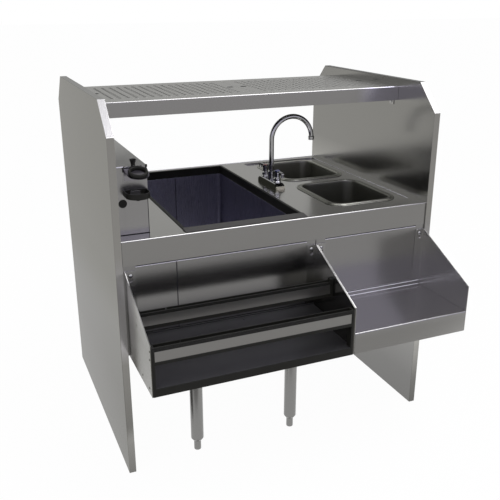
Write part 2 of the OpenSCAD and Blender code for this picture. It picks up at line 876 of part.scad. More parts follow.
// Aerator: a collar screwed over the end of the gooseneck
module spout_aerator() {
    z = deck_h + arch_spring - outlet_drop;
    h = outlet_drop + aerator_up + aerator_down;
    color(bright) placed() translate([faucet_x + 2 * arch_r, faucet_y, z - aerator_down]) difference() {
        cylinder(r = aerator_r, h = h);
        translate([0, 0, -over]) cylinder(r = aerator_bore_r, h = h + 2 * over);
        translate([0, 0, aerator_down - gap / 3]) cylinder(r = spout_r + gap, h = h);
    }
}

// Lever handle: a hub on the valve's neck and a blade that turns down at its end
module lever_handle(s) {
    z = faucet_top + bonnet_h + bonnet_neck_h + hub_seat;
    neck = bonnet_neck_h - hub_seat;
    color(bright) placed() translate([faucet_x, faucet_y + s * valve_pitch / 2, z]) {
        difference() {
            translate([0, 0, -neck]) cylinder(r = hub_r, h = neck + hub_h);
            translate([0, 0, -neck - over]) cylinder(r = bonnet_neck_r + spout_fit, h = neck + over);
        }
        mirror([0, s < 0 ? 1 : 0, 0]) {
            along_x(-lever_w / 2, lever_w / 2) polygon([
                [hub_r / 2, hub_h - lever_t],
                [hub_r / 2, hub_h],
                [lever_l - lever_t / 2, hub_h],
                [lever_l, hub_h - lever_t / 2],
                [lever_l, hub_h - lever_tip_h],
                [lever_l - lever_t, hub_h - lever_tip_h],
                [lever_l - 2 * lever_t, hub_h - lever_t]
            ]);
        }
    }
}
module hot_handle() { lever_handle(1); }
module cold_handle() { lever_handle(-1); }

// Coloured index button on top of a handle
module index_button(s, tint) {
    z = faucet_top + bonnet_h + bonnet_neck_h + hub_seat + hub_h + gap / 3;
    color(tint) placed() translate([faucet_x, faucet_y + s * valve_pitch / 2, z])
        cylinder(r = index_r, h = index_h);
}
module hot_index() { index_button(1, [0.7, 0.2, 0.18]); }
module cold_index() { index_button(-1, [0.25, 0.28, 0.65]); }

// Overshelf
// A rim with folded flanges, and a stepped ledge that the inserts drop into
module shelf_frame() {
    x1 = inner_x - gap;
    ox = x1 - insert_inset;
    ledge_z = shelf_h - shelf_step;
    color(steel) placed() {
        along_x(-x1, x1) for (s = [0, 1]) translate([s * (shelf_front + shelf_back), 0]) mirror([s, 0]) {
            translate([shelf_front, shelf_h]) fold_section(fold_r + over, shelf_flange, sheet_t, fold_r);
            flat([shelf_front, shelf_h - shelf_flange],
                [shelf_front + shelf_hem, shelf_h - shelf_flange + sheet_t]);
        }
        along_z(shelf_h - sheet_t, shelf_h) difference() {
            flat([-x1, shelf_front + fold_r], [x1, shelf_back - fold_r]);
            flat([-ox, shelf_y0], [ox, shelf_y1]);
        }
        along_z(ledge_z - sheet_t, shelf_h) difference() {
            flat([-ox - sheet_t, shelf_y0 - sheet_t], [ox + sheet_t, shelf_y1 + sheet_t]);
            flat([-ox, shelf_y0], [ox, shelf_y1]);
        }
        along_z(ledge_z - sheet_t, ledge_z) difference() {
            flat([-ox - sheet_t, shelf_y0 - sheet_t], [ox + sheet_t, shelf_y1 + sheet_t]);
            for (s = [-1, 1]) flat([s > 0 ? shelf_ledge : shelf_ledge - ox, shelf_y0 + shelf_ledge],
                [s > 0 ? ox - shelf_ledge : -shelf_ledge, shelf_y1 - shelf_ledge]);
        }
        trough_walls(ox - shelf_ledge, shelf_y0 + shelf_ledge, shelf_y1 - shelf_ledge, ledge_z - sheet_t);
    }
}

// Drip trough under the inserts: an open box hung from the ledge
module trough_walls(half, y0, y1, top) {
    low = shelf_h - shelf_flange + trough_up;
    difference() {
        block([-half - trough_t, y0 - trough_t, low - trough_t], [half + trough_t, y1 + trough_t, top]);
        block([-half, y0, low], [half, y1, top + over]);
    }
}

// Perforated insert with flanges that stand on the ledge; side gives left or right
module shelf_insert(side) {
    ox = inner_x - gap - insert_inset;
    a = insert_gap / 2;
    b = ox - insert_gap;
    y0 = shelf_y0 + insert_gap;
    y1 = shelf_y1 - insert_gap;
    z0 = shelf_h - shelf_step + gap;
    nx = floor((b - a - 2 * perf_end_border) / perf_pitch);
    ny = floor((y1 - y0 - 2 * perf_border) / perf_pitch);
    mid = (a + b) / 2;
    color(steel) placed() mirror([side < 0 ? 1 : 0, 0, 0]) {
        along_z(shelf_h - sheet_t, shelf_h) difference() {
            flat([a, y0], [b, y1]);
            for (i = [0:nx], j = [0:ny])
                translate([mid + (i - nx / 2) * perf_pitch, shelf_mid_y + (j - ny / 2) * perf_pitch])
                    circle(perf_r, $fn = 16);
            for (x = [finger_inset, b - finger_inset]) translate([x, shelf_mid_y]) circle(finger_r);
        }
        along_z(z0, shelf_h - sheet_t) difference() {
            flat([a, y0], [b, y1]);
            flat([a + sheet_t, y0 + sheet_t], [b - sheet_t, y1 - sheet_t]);
        }
    }
}
module shelf_insert_left() { shelf_insert(-1); }
module shelf_insert_right() { shelf_insert(1); }

// Where a cleat stands along the shelf: in front of the inserts and behind them
cleat_y0 = shelf_front + cleat_inset;
cleat_y1 = shelf_y0 - sheet_t - gap;
cleat_z0 = shelf_h - shelf_flange - cleat_low;
cleat_z1 = shelf_h - sheet_t - gap;
screw_z = shelf_h - shelf_flange - cleat_low / 2;
module each_cleat() {
    for (s = [0, 1], k = [0, 1])
        translate([0, k * 2 * shelf_mid_y, 0]) mirror([0, k, 0]) mirror([s, 0, 0]) children();
}

// Angle cleats on the end panels that carry the shelf's ends
module shelf_cleats() {
    x1 = inner_x - gap;
    color(steel) placed() each_cleat() difference() {
        union() {
            block([x1 - cleat_t, cleat_y0, cleat_z0], [x1, cleat_y1, cleat_z1]);
            block([x1 - cleat_l, cleat_y0, cleat_z1 - cleat_t], [x1, cleat_y1, cleat_z1]);
        }
        translate([x1 - cleat_l, (cleat_y0 + cleat_y1) / 2, screw_z]) rotate([0, 90, 0])
            cylinder(r = screw_r + gap / 3, h = 2 * cleat_l);
    }
}

// Screws that hold the cleats to the end panels
module shelf_screws() {
    color(bright) placed() each_cleat()
        translate([inner_x - 2 * gap - cleat_t - screw_head_h, (cleat_y0 + cleat_y1) / 2, screw_z])
            rotate([0, 90, 0]) {
                cylinder(r1 = screw_r, r2 = screw_head_r, h = screw_head_h, $fn = 24);
                translate([0, 0, screw_head_h / 2]) cylinder(r = screw_r, h = screw_head_h / 2 + cleat_t + gap);
            }
}

// Legs
leg_places = [for (x = [-1, 1], y = [leg_y_front, leg_y_rear]) [leg_mid_x + x * leg_pitch / 2, y]];

module leg_sockets() {
    z1 = body_bottom - gap;
    color(zinc) placed() for (p = leg_places) translate([p[0], p[1], 0]) difference() {
        union() {
            block([-socket_plate / 2, -rail_bar * 0.7, z1 - socket_plate_t], [socket_plate / 2, rail_bar * 0.7, z1]);
            translate([0, 0, z1 - socket_l]) cylinder(r = socket_r, h = socket_l);
        }
        translate([0, 0, z1 - socket_l - over])
            cylinder(r = leg_r + socket_fit, h = socket_l - socket_plate_t + over);
        for (x = [-1, 1]) translate([x * socket_hole_pitch / 2, 0, z1 - socket_plate])
            cylinder(r = socket_hole_r, h = 2 * socket_plate);
    }
}

// Leg tubes, each with a threaded bush in its lower end
module legs() {
    z1 = body_bottom - 2 * gap - socket_plate_t;
    color(steel) placed() for (p = leg_places) translate([p[0], p[1], 0]) difference() {
        translate([0, 0, foot_h]) cylinder(r = leg_r, h = z1 - foot_h);
        translate([0, 0, foot_h + foot_bush_h]) cylinder(r = leg_r - leg_wall, h = z1);
        translate([0, 0, foot_h - over]) cylinder(r = foot_rod_r + foot_bore_fit, h = foot_bush_h + 2 * over);
    }
}

// Bullet foot: a tapered stem on a threaded rod that screws into the leg
module bullet_foot(k) {
    color(steel) placed() translate([leg_places[k][0], leg_places[k][1], 0]) {
        rotate_extrude() polygon([[0, 0], [foot_r * 0.85, 0], [foot_r, foot_r * 0.15],
            [foot_r, foot_h - foot_cone_h], [foot_neck_r, foot_h - foot_cone_h],
            [leg_r, foot_h - gap], [0, foot_h - gap]]);
        translate([0, 0, foot_h - gap]) cylinder(r = foot_rod_r, h = foot_rod_l);
    }
}
module foot_front_left() { bullet_foot(0); }
module foot_rear_left() { bullet_foot(1); }
module foot_front_right() { bullet_foot(2); }
module foot_rear_right() { bullet_foot(3); }

// Speed rail and landing
// Outline of a hanging bracket's side, from its back edge to its front edge
function bracket_outline() = [
    [hang_y, rail_z0],
    [hang_y, rail_z0 + bracket_back_h],
    [hang_y - bracket_nose, rail_z0 + bracket_back_h],
    [front_y + sheet_t, rail_z0 + bracket_front_h],
    [front_y + sheet_t, rail_z0]
];
bolt_z = rail_z0 + bracket_back_h - bolt_drop;

// A keyhole: a slot over the bolt's shank and a hole below that clears its head
module keyhole(x) {
    along_y(hang_y - 2 * bracket_t, hang_y + over) {
        translate([x, bolt_z]) circle(bolt_slot_r);
        flat([x - bolt_slot_r, bolt_z - lift], [x + bolt_slot_r, bolt_z]);
        translate([x, bolt_z - lift]) circle(bolt_hole_r);
    }
}

// A bracket at x0, with its back flange turned towards the unit's inside
module bracket(x0, inward) {
    flange_x0 = inward > 0 ? x0 : x0 + bracket_t - bracket_flange;
    bolt_x = inward > 0 ? x0 + bolt_inset : x0 + bracket_t - bolt_inset;
    color(steel) placed() difference() {
        union() {
            along_x(x0, x0 + bracket_t) polygon(bracket_outline());
            block([flange_x0, hang_y - bracket_t, rail_z0],
                [flange_x0 + bracket_flange, hang_y, rail_z0 + bracket_back_h]);
        }
        keyhole(bolt_x);
    }
}
module rail_bracket(x0, inward) {
    difference() {
        bracket(x0, inward);
        color(steel) placed() each_rivet() translate([0, 0, -over])
            cylinder(r = rivet_r + rivet_fit, h = bracket_t + 2 * over, $fn = 24);
    }
}
module rail_bracket_left() { rail_bracket(rail_x0, 1); }
module rail_bracket_right() { rail_bracket(rail_x1 - bracket_t, -1); }
module landing_bracket_left() { bracket(landing_x0, 1); }
module landing_bracket_right() { bracket(landing_x1 - bracket_t, -1); }

// Dome-headed bolts that the keyholes hang on, with nuts behind the front panels
bolt_xs = [rail_x0 + bolt_inset, rail_x1 - bolt_inset, landing_x0 + bolt_inset, landing_x1 - bolt_inset];
module hanger_bolts() {
    head_y = hang_y - bracket_t - gap;
    grip = face_set + sheet_t + gap - head_y;
    color(bright) placed() for (x = bolt_xs) translate([x, head_y, bolt_z]) rotate([-90, 0, 0]) {
        cylinder(r = bolt_r, h = grip + bolt_nut_h);
        translate([0, 0, grip]) cylinder(r = bolt_nut_r, h = bolt_nut_h, $fn = 6);
        intersection() {
            translate([0, 0, -bolt_head_h]) cylinder(r = bolt_head_r, h = bolt_head_h);
            translate([0, 0, bolt_head_r - bolt_head_h + over]) sphere(bolt_head_r + over);
        }
    }
}

rail_in0 = rail_x0 + bracket_t + tray_gap;
rail_in1 = rail_x1 - bracket_t - tray_gap;
floor_z = rail_z0 + floor_rise;
tray_back = hang_y - bracket_t - tray_gap;
rear_frame_y = front_y + rear_frame_set;
rear_top_z = rail_z0 + bracket_front_h + rear_frame_rise;
rivet_places = [
    [front_y + frame_depth / 3, rail_z0 + bracket_front_h - 2 * rivet_edge],
    [front_y + frame_depth / 2, rail_z0 + bracket_front_h - 5 * rivet_edge],
    [front_y + frame_depth + rivet_edge / 2, floor_z - floor_flange / 2],
    [front_y + rear_frame_set / 4 * 3, floor_z - floor_flange / 3],
    [rear_frame_y + rear_frame_depth / 3, rear_top_z - rivet_edge],
    [rear_frame_y + rear_frame_depth / 3, rear_top_z - 4 * rivet_edge],
    [tray_back - tier_depth / 2, floor_z + tier_rise - floor_flange / 2]
];
frame_y0 = front_y;
frame_y1 = front_y + frame_depth;
strip_z1 = rail_z0 + bracket_front_h - top_bar_drop - top_bar_h;
strip_z0 = strip_z1 - strip_h;

// Floor of the front tier: a folded tray with a tongue that lies on the front frame's sill
module rail_floor() {
    y0 = frame_y1 + tray_gap;
    color(black) placed() {
        block([rail_in0, y0, floor_z - tray_t], [rail_in1, tray_back, floor_z]);
        block([rail_in0 + post_w + gap, frame_y0 + tray_t, floor_z - tray_t], [rail_in1 - post_w - gap, y0 + over, floor_z]);
        block([rail_in0, tray_back - tray_t, floor_z], [rail_in1, tray_back, floor_z + floor_lip]);
        for (x = [rail_in0, rail_in1 - tray_t])
            block([x, y0, floor_z - floor_flange], [x + tray_t, tray_back, floor_z - tray_t]);
    }
}

// Raised floor of the rear tier, folded down in front
module rail_rear_shelf() {
    z1 = floor_z + tier_rise;
    y0 = tray_back - tier_depth;
    color(black) placed() {
        block([rail_in0, y0, z1 - tray_t], [rail_in1, tray_back, z1]);
        block([rail_in0, tray_back - tray_t, z1], [rail_in1, tray_back, z1 + floor_lip / 2]);
        block([rail_in0, y0, z1 - tier_flange], [rail_in1, y0 + tray_t, z1 - tray_t]);
        for (x = [rail_in0, rail_in1 - tray_t])
            block([x, y0, z1 - floor_flange], [x + tray_t, tray_back, z1 - tray_t]);
    }
}

// Grooves moulded along the face of a frame's top bar
module bar_grooves(y, z0, z1) {
    for (k = [1:groove_count])
        translate([rail_in0 - over, y - over, z0 + (z1 - z0) * k / (groove_count + 1) - groove_w / 2])
            cube([rail_in1 - rail_in0 + 2 * over, groove_d + over, groove_w]);
}

// Channel along the top of a frame's top bar, open upwards between the two end posts
module bar_channel(y, depth, z0, z1) {
    block([rail_in0 + post_w, y + bar_front_wall, z0], [rail_in1 - post_w, y + depth - bar_back_wall, z1 + over]);
}

// Notches in the back wall of that channel
module bar_notches(y1, z0, z1) {
    for (x = [rail_in0 + bar_notch_left, rail_in1 - bar_notch_right])
        block([x, y1 - bar_back_wall - over, z0], [x + bar_notch_w, y1 + over, z1 + over]);
}

// Front frame: end posts, a grooved top bar, a mid bar and a kick bar round two windows
module rail_front_frame() {
    z0 = rail_z0;
    z1 = rail_z0 + bracket_front_h - top_bar_drop;
    x0 = rail_in0 + post_w;
    x1 = rail_in1 - post_w;
    color(black) placed() difference() {
        block([rail_in0, frame_y0, z0], [rail_in1, frame_y1, z1]);
        block([x0, frame_y0 - over, strip_z0], [x1, frame_y0 + strip_inset + strip_t, strip_z1]);
        block([x0 + frame_lip, frame_y0, strip_z0 + frame_lip], [x1 - frame_lip, frame_y1 + over, strip_z1 - frame_lip]);
        block([x0, frame_y0 - over, floor_z - tray_t - gap / 3], [x1, frame_y1 + over, strip_z0 - mid_bar_h]);
        block([x0, frame_y0 + 2 * frame_lip, z0 - over], [x1, frame_y1 + over, floor_z - 2 * frame_lip]);
        bar_grooves(frame_y0, strip_z1, z1);
        bar_channel(frame_y0, frame_depth, z1 - bar_channel_d, z1);
        bar_notches(frame_y1, z1 - bar_channel_d, z1);
    }
}
// Rear frame: the same section, lower and deeper, ahead of the raised floor
rear_z1 = rear_top_z - rear_top_bar_h;
rear_z0 = rear_z1 - strip_h;
module rail_rear_frame() {
    y1 = rear_frame_y + rear_frame_depth;
    x0 = rail_in0 + post_w;
    x1 = rail_in1 - post_w;
    z0 = rear_z0 - rear_bottom_bar_h;
    color(black) placed() difference() {
        union() {
            block([rail_in0, rear_frame_y, z0], [rail_in1, y1, rear_top_z]);
            for (x = [rail_in0, x1]) block([x, rear_frame_y, z0], [x + post_w, y1, rear_top_z + post_rise]);
        }
        block([x0, rear_frame_y - over, rear_z0], [x1, rear_frame_y + strip_inset + strip_t, rear_z1]);
        block([x0 + frame_lip, rear_frame_y, rear_z0 + frame_lip], [x1 - frame_lip, y1 + over, rear_z1 - frame_lip]);
        bar_grooves(rear_frame_y, rear_z1, rear_top_z);
        bar_channel(rear_frame_y, rear_frame_depth, rear_z1 + bar_floor, rear_top_z);
        bar_notches(y1, rear_z1 + bar_floor, rear_top_z);
    }
}

// Steel strips let into the windows of the two frames
module rail_strips() {
    m = gap;
    color(steel) placed() for (p = [[frame_y0, strip_z0], [rear_frame_y, rear_z0]])
        block([rail_in0 + post_w + m, p[0] + strip_inset - gap / 3, p[1] + m],
            [rail_in1 - post_w - m, p[0] + strip_inset + strip_t - gap / 3, p[1] + strip_h - m]);
}

// Landing tray: a floor folded down in front and up at the back
module landing_tray() {
    x0 = landing_x0 + bracket_t + tray_gap;
    x1 = landing_x1 - bracket_t - tray_gap;
    z1 = rail_z0 + landing_rise;
    color(steel) placed() {
        along_x(x0, x1) {
            translate([front_y, z1]) fold_section(fold_r + over, landing_rise, tray_t, fold_r);
            flat([front_y, rail_z0], [front_y + 3 * fold_r, rail_z0 + tray_t]);
            flat([front_y + fold_r, z1 - tray_t], [tray_back, z1]);
            flat([tray_back - tray_t, z1], [tray_back, z1 + landing_lip]);
        }
        for (x = [x0, x1 - tray_t])
            block([x, front_y + fold_r, z1 - floor_flange], [x + tray_t, tray_back, z1 - tray_t]);
    }
}

// Rivets through the rail's brackets into its floors and frames
module each_rivet() {
    for (s = [0, 1], p = rivet_places) translate([s * (rail_x0 + rail_x1), 0, 0]) mirror([s, 0, 0])
        translate([rail_x0, p[0], p[1]]) rotate([0, 90, 0]) children();
}
module rail_rivets() {
    color(steel) placed() each_rivet() {
        translate([0, 0, -rivet_head_h]) cylinder(r = rivet_head_r, h = rivet_head_h, $fn = 24);
        cylinder(r = rivet_r, h = bracket_t, $fn = 24);
    }
}

// Soda gun station
// Hose chase: a folded cover that stands on the deck, with a notch where the holster hooks in
module chase_shell() {
    t = sheet_t;
    x0 = chase_x0;
    x1 = chase_x1;
    z0 = deck_h + gap / 3;
    color(steel) placed() difference() {
        block([x0, chase_front, z0], [x1, chase_back, chase_top]);
        block([x0 + t, chase_front + t, z0 - over], [x1 - t, chase_back - t, chase_top - t]);
        block([holster_x0 - notch_w, chase_front - over, chase_top - notch_h],
            [holster_x0, chase_front + t + over, chase_top + over]);
        block([holster_x0 - notch_w, chase_front - over, z0 + seam_foot],
            [holster_x0 - notch_w + seam_w, chase_front + seam_d, chase_top - notch_h + over]);
        translate([plug_x, chase_front - over, plug_z]) rotate([-90, 0, 0])
            cylinder(r = plug_stem_r + gap, h = t + 2 * over);
        translate([funnel_x, funnel_y, chase_top - t - over])
            cylinder(r = funnel_bore_r, h = t + 2 * over);
    }
}

// Moves what is drawn round the ring's seat onto the sloping tongue
module on_tongue() {
    translate([ring_x, chase_front - gap / 3, tongue_z]) rotate([tongue_tilt, 0, 0])
        translate([0, -tongue_reach, 0]) children();
}

// Holster bracket: a sloping tongue with a round nose under the ring, folded down on the chase's face
module holster_bracket() {
    y1 = chase_front - gap / 3;
    nose = ring_r + loop_margin;
    root = tongue_reach - plate_t / 2;
    half = holster_w / 2;
    color(steel) placed() {
        on_tongue() along_z(-plate_t, 0) difference() {
            union() {
                circle(nose);
                polygon([[-nose, 0], [-half, root - fold_r], [-half, root], [half, root], [half, root - fold_r], [nose, 0]]);
            }
            circle(ring_hole_r);
        }
        block([holster_x0, y1 - plate_t, tongue_z - plate_drop],
            [holster_x1, y1, tongue_z - plate_t * sin(tongue_tilt)]);
    }
}

// Holster ring: a moulded grommet with round edges, seated on the tongue
module holster_ring() {
    edge = (ring_r - ring_hole_r) / 2;
    color(black) placed() on_tongue() translate([0, 0, gap / 3]) rotate_extrude() {
        translate([ring_hole_r + edge, edge]) circle(edge, $fn = 24);
        translate([ring_hole_r + edge, ring_h - edge]) circle(edge, $fn = 24);
        flat([ring_hole_r, edge], [ring_r, ring_h - edge]);
    }
}

cup_top = chase_top - cup_drop;
cup_x = holster_x0 + cup_w / 2 - cup_over;
cup_y = chase_front - cup_reach / 2;

// Outline of the drip cup: a flat back and a round nose, drawn in by a margin
module cup_plan(m) {
    r = cup_w / 2 - m;
    nose_y = chase_front - cup_reach + cup_w / 2;
    flat([cup_x - r, nose_y], [cup_x + r, chase_front - gap - m]);
    intersection() {
        translate([cup_x, nose_y]) circle(r);
        flat([cup_x - r, nose_y - r], [cup_x + r, chase_front - gap - m]);
    }
}

// Drip cup with a drain hole and a hose nipple, hooked on a saddle on the chase's face
module drip_cup() {
    z0 = cup_top - cup_h;
    color(black) placed() difference() {
        union() {
            along_z(z0, cup_top) cup_plan(0);
            translate([cup_x, cup_y, z0 - cup_nipple_l]) cylinder(r = cup_nipple_r, h = cup_nipple_l + over);
        }
        along_z(z0 + cup_floor, cup_top + over) cup_plan(cup_wall);
        translate([cup_x, cup_y, z0 - cup_nipple_l - over])
            cylinder(r = cup_drain_r, h = cup_h + cup_nipple_l);
        along_x(cup_x - saddle_w / 2 - gap, cup_x + saddle_w / 2 + gap)
            flat([chase_front - saddle_t - 2 * gap, z0 - over], [chase_front, cup_top - cup_floor + gap]);
    }
}

// Saddle: a small block riveted to the chase that the drip cup hooks over
module cup_saddle() {
    color(steel) placed()
        block([cup_x - saddle_w / 2, chase_front - saddle_t - gap / 3, cup_top - cup_h + saddle_t],
            [cup_x + saddle_w / 2, chase_front - gap / 3, cup_top - cup_floor]);
}

module hole_plug() {
    color(black) placed() translate([plug_x, chase_front - gap / 3, plug_z]) rotate([90, 0, 0]) {
        cylinder(r1 = plug_r, r2 = plug_r - plug_h / 2, h = plug_h);
        translate([0, 0, -plug_stem_l]) cylinder(r = plug_stem_r, h = plug_stem_l);
    }
}

// Hose funnel: a cone on the chase's top, with a bore for the hose and a spigot
module hose_funnel() {
    z = chase_top + gap / 3;
    color(black) placed() translate([funnel_x, funnel_y, z]) rotate_extrude() polygon([
        [funnel_bore_low, -funnel_spigot],
        [funnel_bore_r - gap, -funnel_spigot],
        [funnel_bore_r - gap, 0],
        [funnel_low_r, 0],
        [funnel_low_r, funnel_h / 4],
        [funnel_top_r, funnel_h - funnel_lip],
        [funnel_top_r, funnel_h],
        [funnel_top_r - funnel_lip, funnel_h],
        [funnel_bore_low, funnel_h / 4]
    ]);
}

// Edge clip: a small moulded cap over the chase's upper front corner
module edge_clip() {
    t = clip_t;
    color(black) placed() difference() {
        block([chase_x1 - clip_w, chase_front - t, chase_top - clip_h],
            [chase_x1 + t, chase_front + clip_w, chase_top + t]);
        block([chase_x1 - clip_w - over, chase_front - gap / 3, chase_top - clip_h - over],
            [chase_x1 + gap / 3, chase_front + clip_w + over, chase_top + gap / 3]);
    }
}

left_end_pan();
left_end_liner();
right_end_pan();
right_end_liner();
deck();
front_panel_left();
front_panel_middle();
front_panel_right();
back_panel();
base_frame();
bin_collar();
bin_liner();
bin_insulation();
bin_jacket();
bin_false_bottom();
bin_drain();
sink_bowl_front();
sink_bowl_rear();
sink_drains();
faucet_base();
valve_bonnets();
faucet_shanks();
faucet_spout();
spout_nut();
spout_aerator();
hot_handle();
cold_handle();
hot_index();
cold_index();
shelf_frame();
shelf_insert_left();
shelf_insert_right();
shelf_cleats();
shelf_screws();
leg_sockets();
legs();
foot_front_left();
foot_front_right();
foot_rear_left();
foot_rear_right();
rail_bracket_left();
rail_bracket_right();
rail_floor();
rail_rear_shelf();
rail_front_frame();
rail_rear_frame();
rail_strips();
rail_rivets();
landing_bracket_left();
landing_bracket_right();
landing_tray();
hanger_bolts();
chase_shell();
holster_bracket();
holster_ring();
drip_cup();
cup_saddle();
hole_plug();
hose_funnel();
edge_clip();
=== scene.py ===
# %% [markdown]
# # A bar sink with an ice bin
# The station is two tall steel ends, a shelf across them, a deck with a bin and two bowls,
# and a bottle rail and a landing hung in front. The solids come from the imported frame, in
# metres. This file only gives them their looks: soft edges, grain, gloss and small parts.

# %% Load the frame
import json
import math
import bmesh
import bpy
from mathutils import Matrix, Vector

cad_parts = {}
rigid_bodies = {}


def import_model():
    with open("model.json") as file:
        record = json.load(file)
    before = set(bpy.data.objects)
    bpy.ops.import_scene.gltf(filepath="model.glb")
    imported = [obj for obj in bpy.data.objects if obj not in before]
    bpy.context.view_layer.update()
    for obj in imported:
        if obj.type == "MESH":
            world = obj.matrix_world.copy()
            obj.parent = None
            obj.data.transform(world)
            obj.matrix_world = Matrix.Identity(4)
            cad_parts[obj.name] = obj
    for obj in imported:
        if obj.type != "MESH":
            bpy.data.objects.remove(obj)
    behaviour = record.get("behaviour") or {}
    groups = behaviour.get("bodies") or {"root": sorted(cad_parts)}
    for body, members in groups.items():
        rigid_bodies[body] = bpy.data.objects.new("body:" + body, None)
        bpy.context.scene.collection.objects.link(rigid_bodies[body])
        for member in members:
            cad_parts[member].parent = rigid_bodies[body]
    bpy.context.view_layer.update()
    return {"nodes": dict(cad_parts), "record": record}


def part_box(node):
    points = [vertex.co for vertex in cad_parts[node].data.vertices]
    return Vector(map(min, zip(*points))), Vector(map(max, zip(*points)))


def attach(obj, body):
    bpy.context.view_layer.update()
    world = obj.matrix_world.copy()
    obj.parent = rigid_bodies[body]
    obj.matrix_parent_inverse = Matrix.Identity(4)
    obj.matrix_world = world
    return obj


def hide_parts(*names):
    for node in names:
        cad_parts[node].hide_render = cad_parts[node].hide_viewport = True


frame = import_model()
BODY_OF = {n: b for b, nodes in frame["record"]["behaviour"]["bodies"].items() for n in nodes}

# %% [markdown]
# ## Shader maths as plain expressions
# A node tree for streaked steel needs dozens of small sums. Linking Math nodes by hand hides
# the formula, so one small class wraps a socket and turns `+`, `-`, `*` and `/` into Math nodes.
# Colours go through Mix nodes, because a Math node would turn them grey.

# %% A wrapped socket and a material builder
class Wire:
    """One socket of a node tree that takes part in Python expressions."""

    def __init__(self, paint, socket):
        self.paint, self.socket = paint, socket

    def _math(self, operation, a, b):
        return self.paint.node("ShaderNodeMath", {"operation": operation}, {0: a, 1: b})

    def __add__(self, o): return self._math("ADD", self, o)
    def __sub__(self, o): return self._math("SUBTRACT", self, o)
    def __mul__(self, o): return self._math("MULTIPLY", self, o)
    def __truediv__(self, o): return self._math("DIVIDE", self, o)
    def above(self, o): return self._math("GREATER_THAN", self, o)
    def most(self, o): return self._math("MAXIMUM", self, o)
    def least(self, o): return self._math("MINIMUM", self, o)


class Paint:
    """Builds one material. Every finish below is a short list of calls to it."""

    RAMP_TOP = 1.2  # metres: just over the station's height, the right end of every height ramp

    def __init__(self, name):
        self.mat = bpy.data.materials.new(name)
        self.mat.use_nodes = True
        self.tree = self.mat.node_tree
        self.bsdf = self.tree.nodes["Principled BSDF"]

    @classmethod
    def over(cls, tree):
        """The same helpers on a tree that exists already, such as the world's."""
        p = cls.__new__(cls)
        p.tree = tree
        return p

    def node(self, kind, settings=None, inputs=None, output=0):
        n = self.tree.nodes.new(kind)
        for key, value in (settings or {}).items():
            if key == "stops":
                ramp = n.color_ramp
                while len(ramp.elements) < len(value):
                    ramp.elements.new(0.5)
                for element, (place, colour) in zip(ramp.elements, value):
                    element.position, element.color = place, (*colour, 1)
            else:
                setattr(n, key, value)
        for key, value in (inputs or {}).items():
            self.feed(n.inputs[key], value)
        return Wire(self, n.outputs[output])

    def feed(self, socket, value):
        if isinstance(value, Wire):
            self.tree.links.new(value.socket, socket)
        else:
            socket.default_value = value

    def place(self, scale=(1, 1, 1)):
        """Object coordinates, stretched."""
        where = self.node("ShaderNodeTexCoord", output="Object")
        return self.node("ShaderNodeMapping", None, {"Vector": where, "Scale": scale})

    def along(self, axis):
        """One of the Object coordinates."""
        where = self.node("ShaderNodeTexCoord", output="Object")
        return self.node("ShaderNodeSeparateXYZ", None, {0: where}, output=axis)

    def ramp(self, value, start, stop):
        """0 before start, 1 past stop, and a soft step between them. Start may be the larger."""
        return self.node("ShaderNodeMapRange", {"interpolation_type": "SMOOTHSTEP"},
                         {"Value": value, 1: start, 2: stop, 3: 0.0, 4: 1.0})

    def by_height(self, colour, stops):
        """The colour times a share that changes with height: stops are (height, share)."""
        share = self.node("ShaderNodeValToRGB", {"stops": [(z / self.RAMP_TOP, tint) for z, tint in stops]},
                          {"Fac": self.along("Z") / self.RAMP_TOP})
        return self.tinted(colour, share)

    def tinted(self, colour, share):
        return self.node("ShaderNodeVectorMath", {"operation": "MULTIPLY"}, {0: colour, 1: share})

    def noise(self, scale, stretch=(1, 1, 1), detail=3.0, rough=0.5):
        return self.node("ShaderNodeTexNoise", None, {
            "Vector": self.place(stretch), "Scale": scale, "Detail": detail, "Roughness": rough})

    def blend(self, factor, a, b):
        """Mixes two colours: a where the factor is 0, b where it is 1."""
        n = self.tree.nodes.new("ShaderNodeMix")
        n.data_type = "RGBA"
        self.feed(n.inputs[0], factor)
        for socket, value in ((n.inputs[6], a), (n.inputs[7], b)):
            self.feed(socket, value if isinstance(value, Wire) else (*value, 1))
        return Wire(self, n.outputs[2])

    def finish(self, colour, rough, metal=0.0, height=None, depth=0.0002, strength=0.3):
        self.feed(self.bsdf.inputs["Base Color"], colour)
        self.feed(self.bsdf.inputs["Roughness"], rough)
        self.bsdf.inputs["Metallic"].default_value = metal
        if height is not None:
            bump = self.node("ShaderNodeBump", None, {
                "Height": height, "Strength": strength, "Distance": depth}, output="Normal")
            self.feed(self.bsdf.inputs["Normal"], bump)
        return self.mat


print("shader helpers ready")

# %% [markdown]
# ## Brushed steel
# Bar steel is rubbed in one direction with a belt, which leaves thousands of fine parallel
# scratches. A noise texture squeezed hard across the grain and left long along it gives
# those scratches. A second, slow noise stands for the faint clouds that wiping leaves.
# Each sheet has its own grain direction, so the finish is a function of its axis. Some
# sheets also carry painted reflection, painted highlights and painted shade: their tone
# changes with height or place. That stands for what they mirror in the photographer's
# studio, which a plain white stage can't give them.

# %% Brushed steel
GRAIN = {"x": (1.0, 60.0, 60.0), "y": (60.0, 1.0, 60.0), "z": (60.0, 60.0, 1.0)}
COARSE_SCALE, FINE_SCALE, CLOUD_SCALE = 26.0, 70.0, 3.2
GLOSS_SWING = 0.10
OUTER_FACE_X = 0.5326


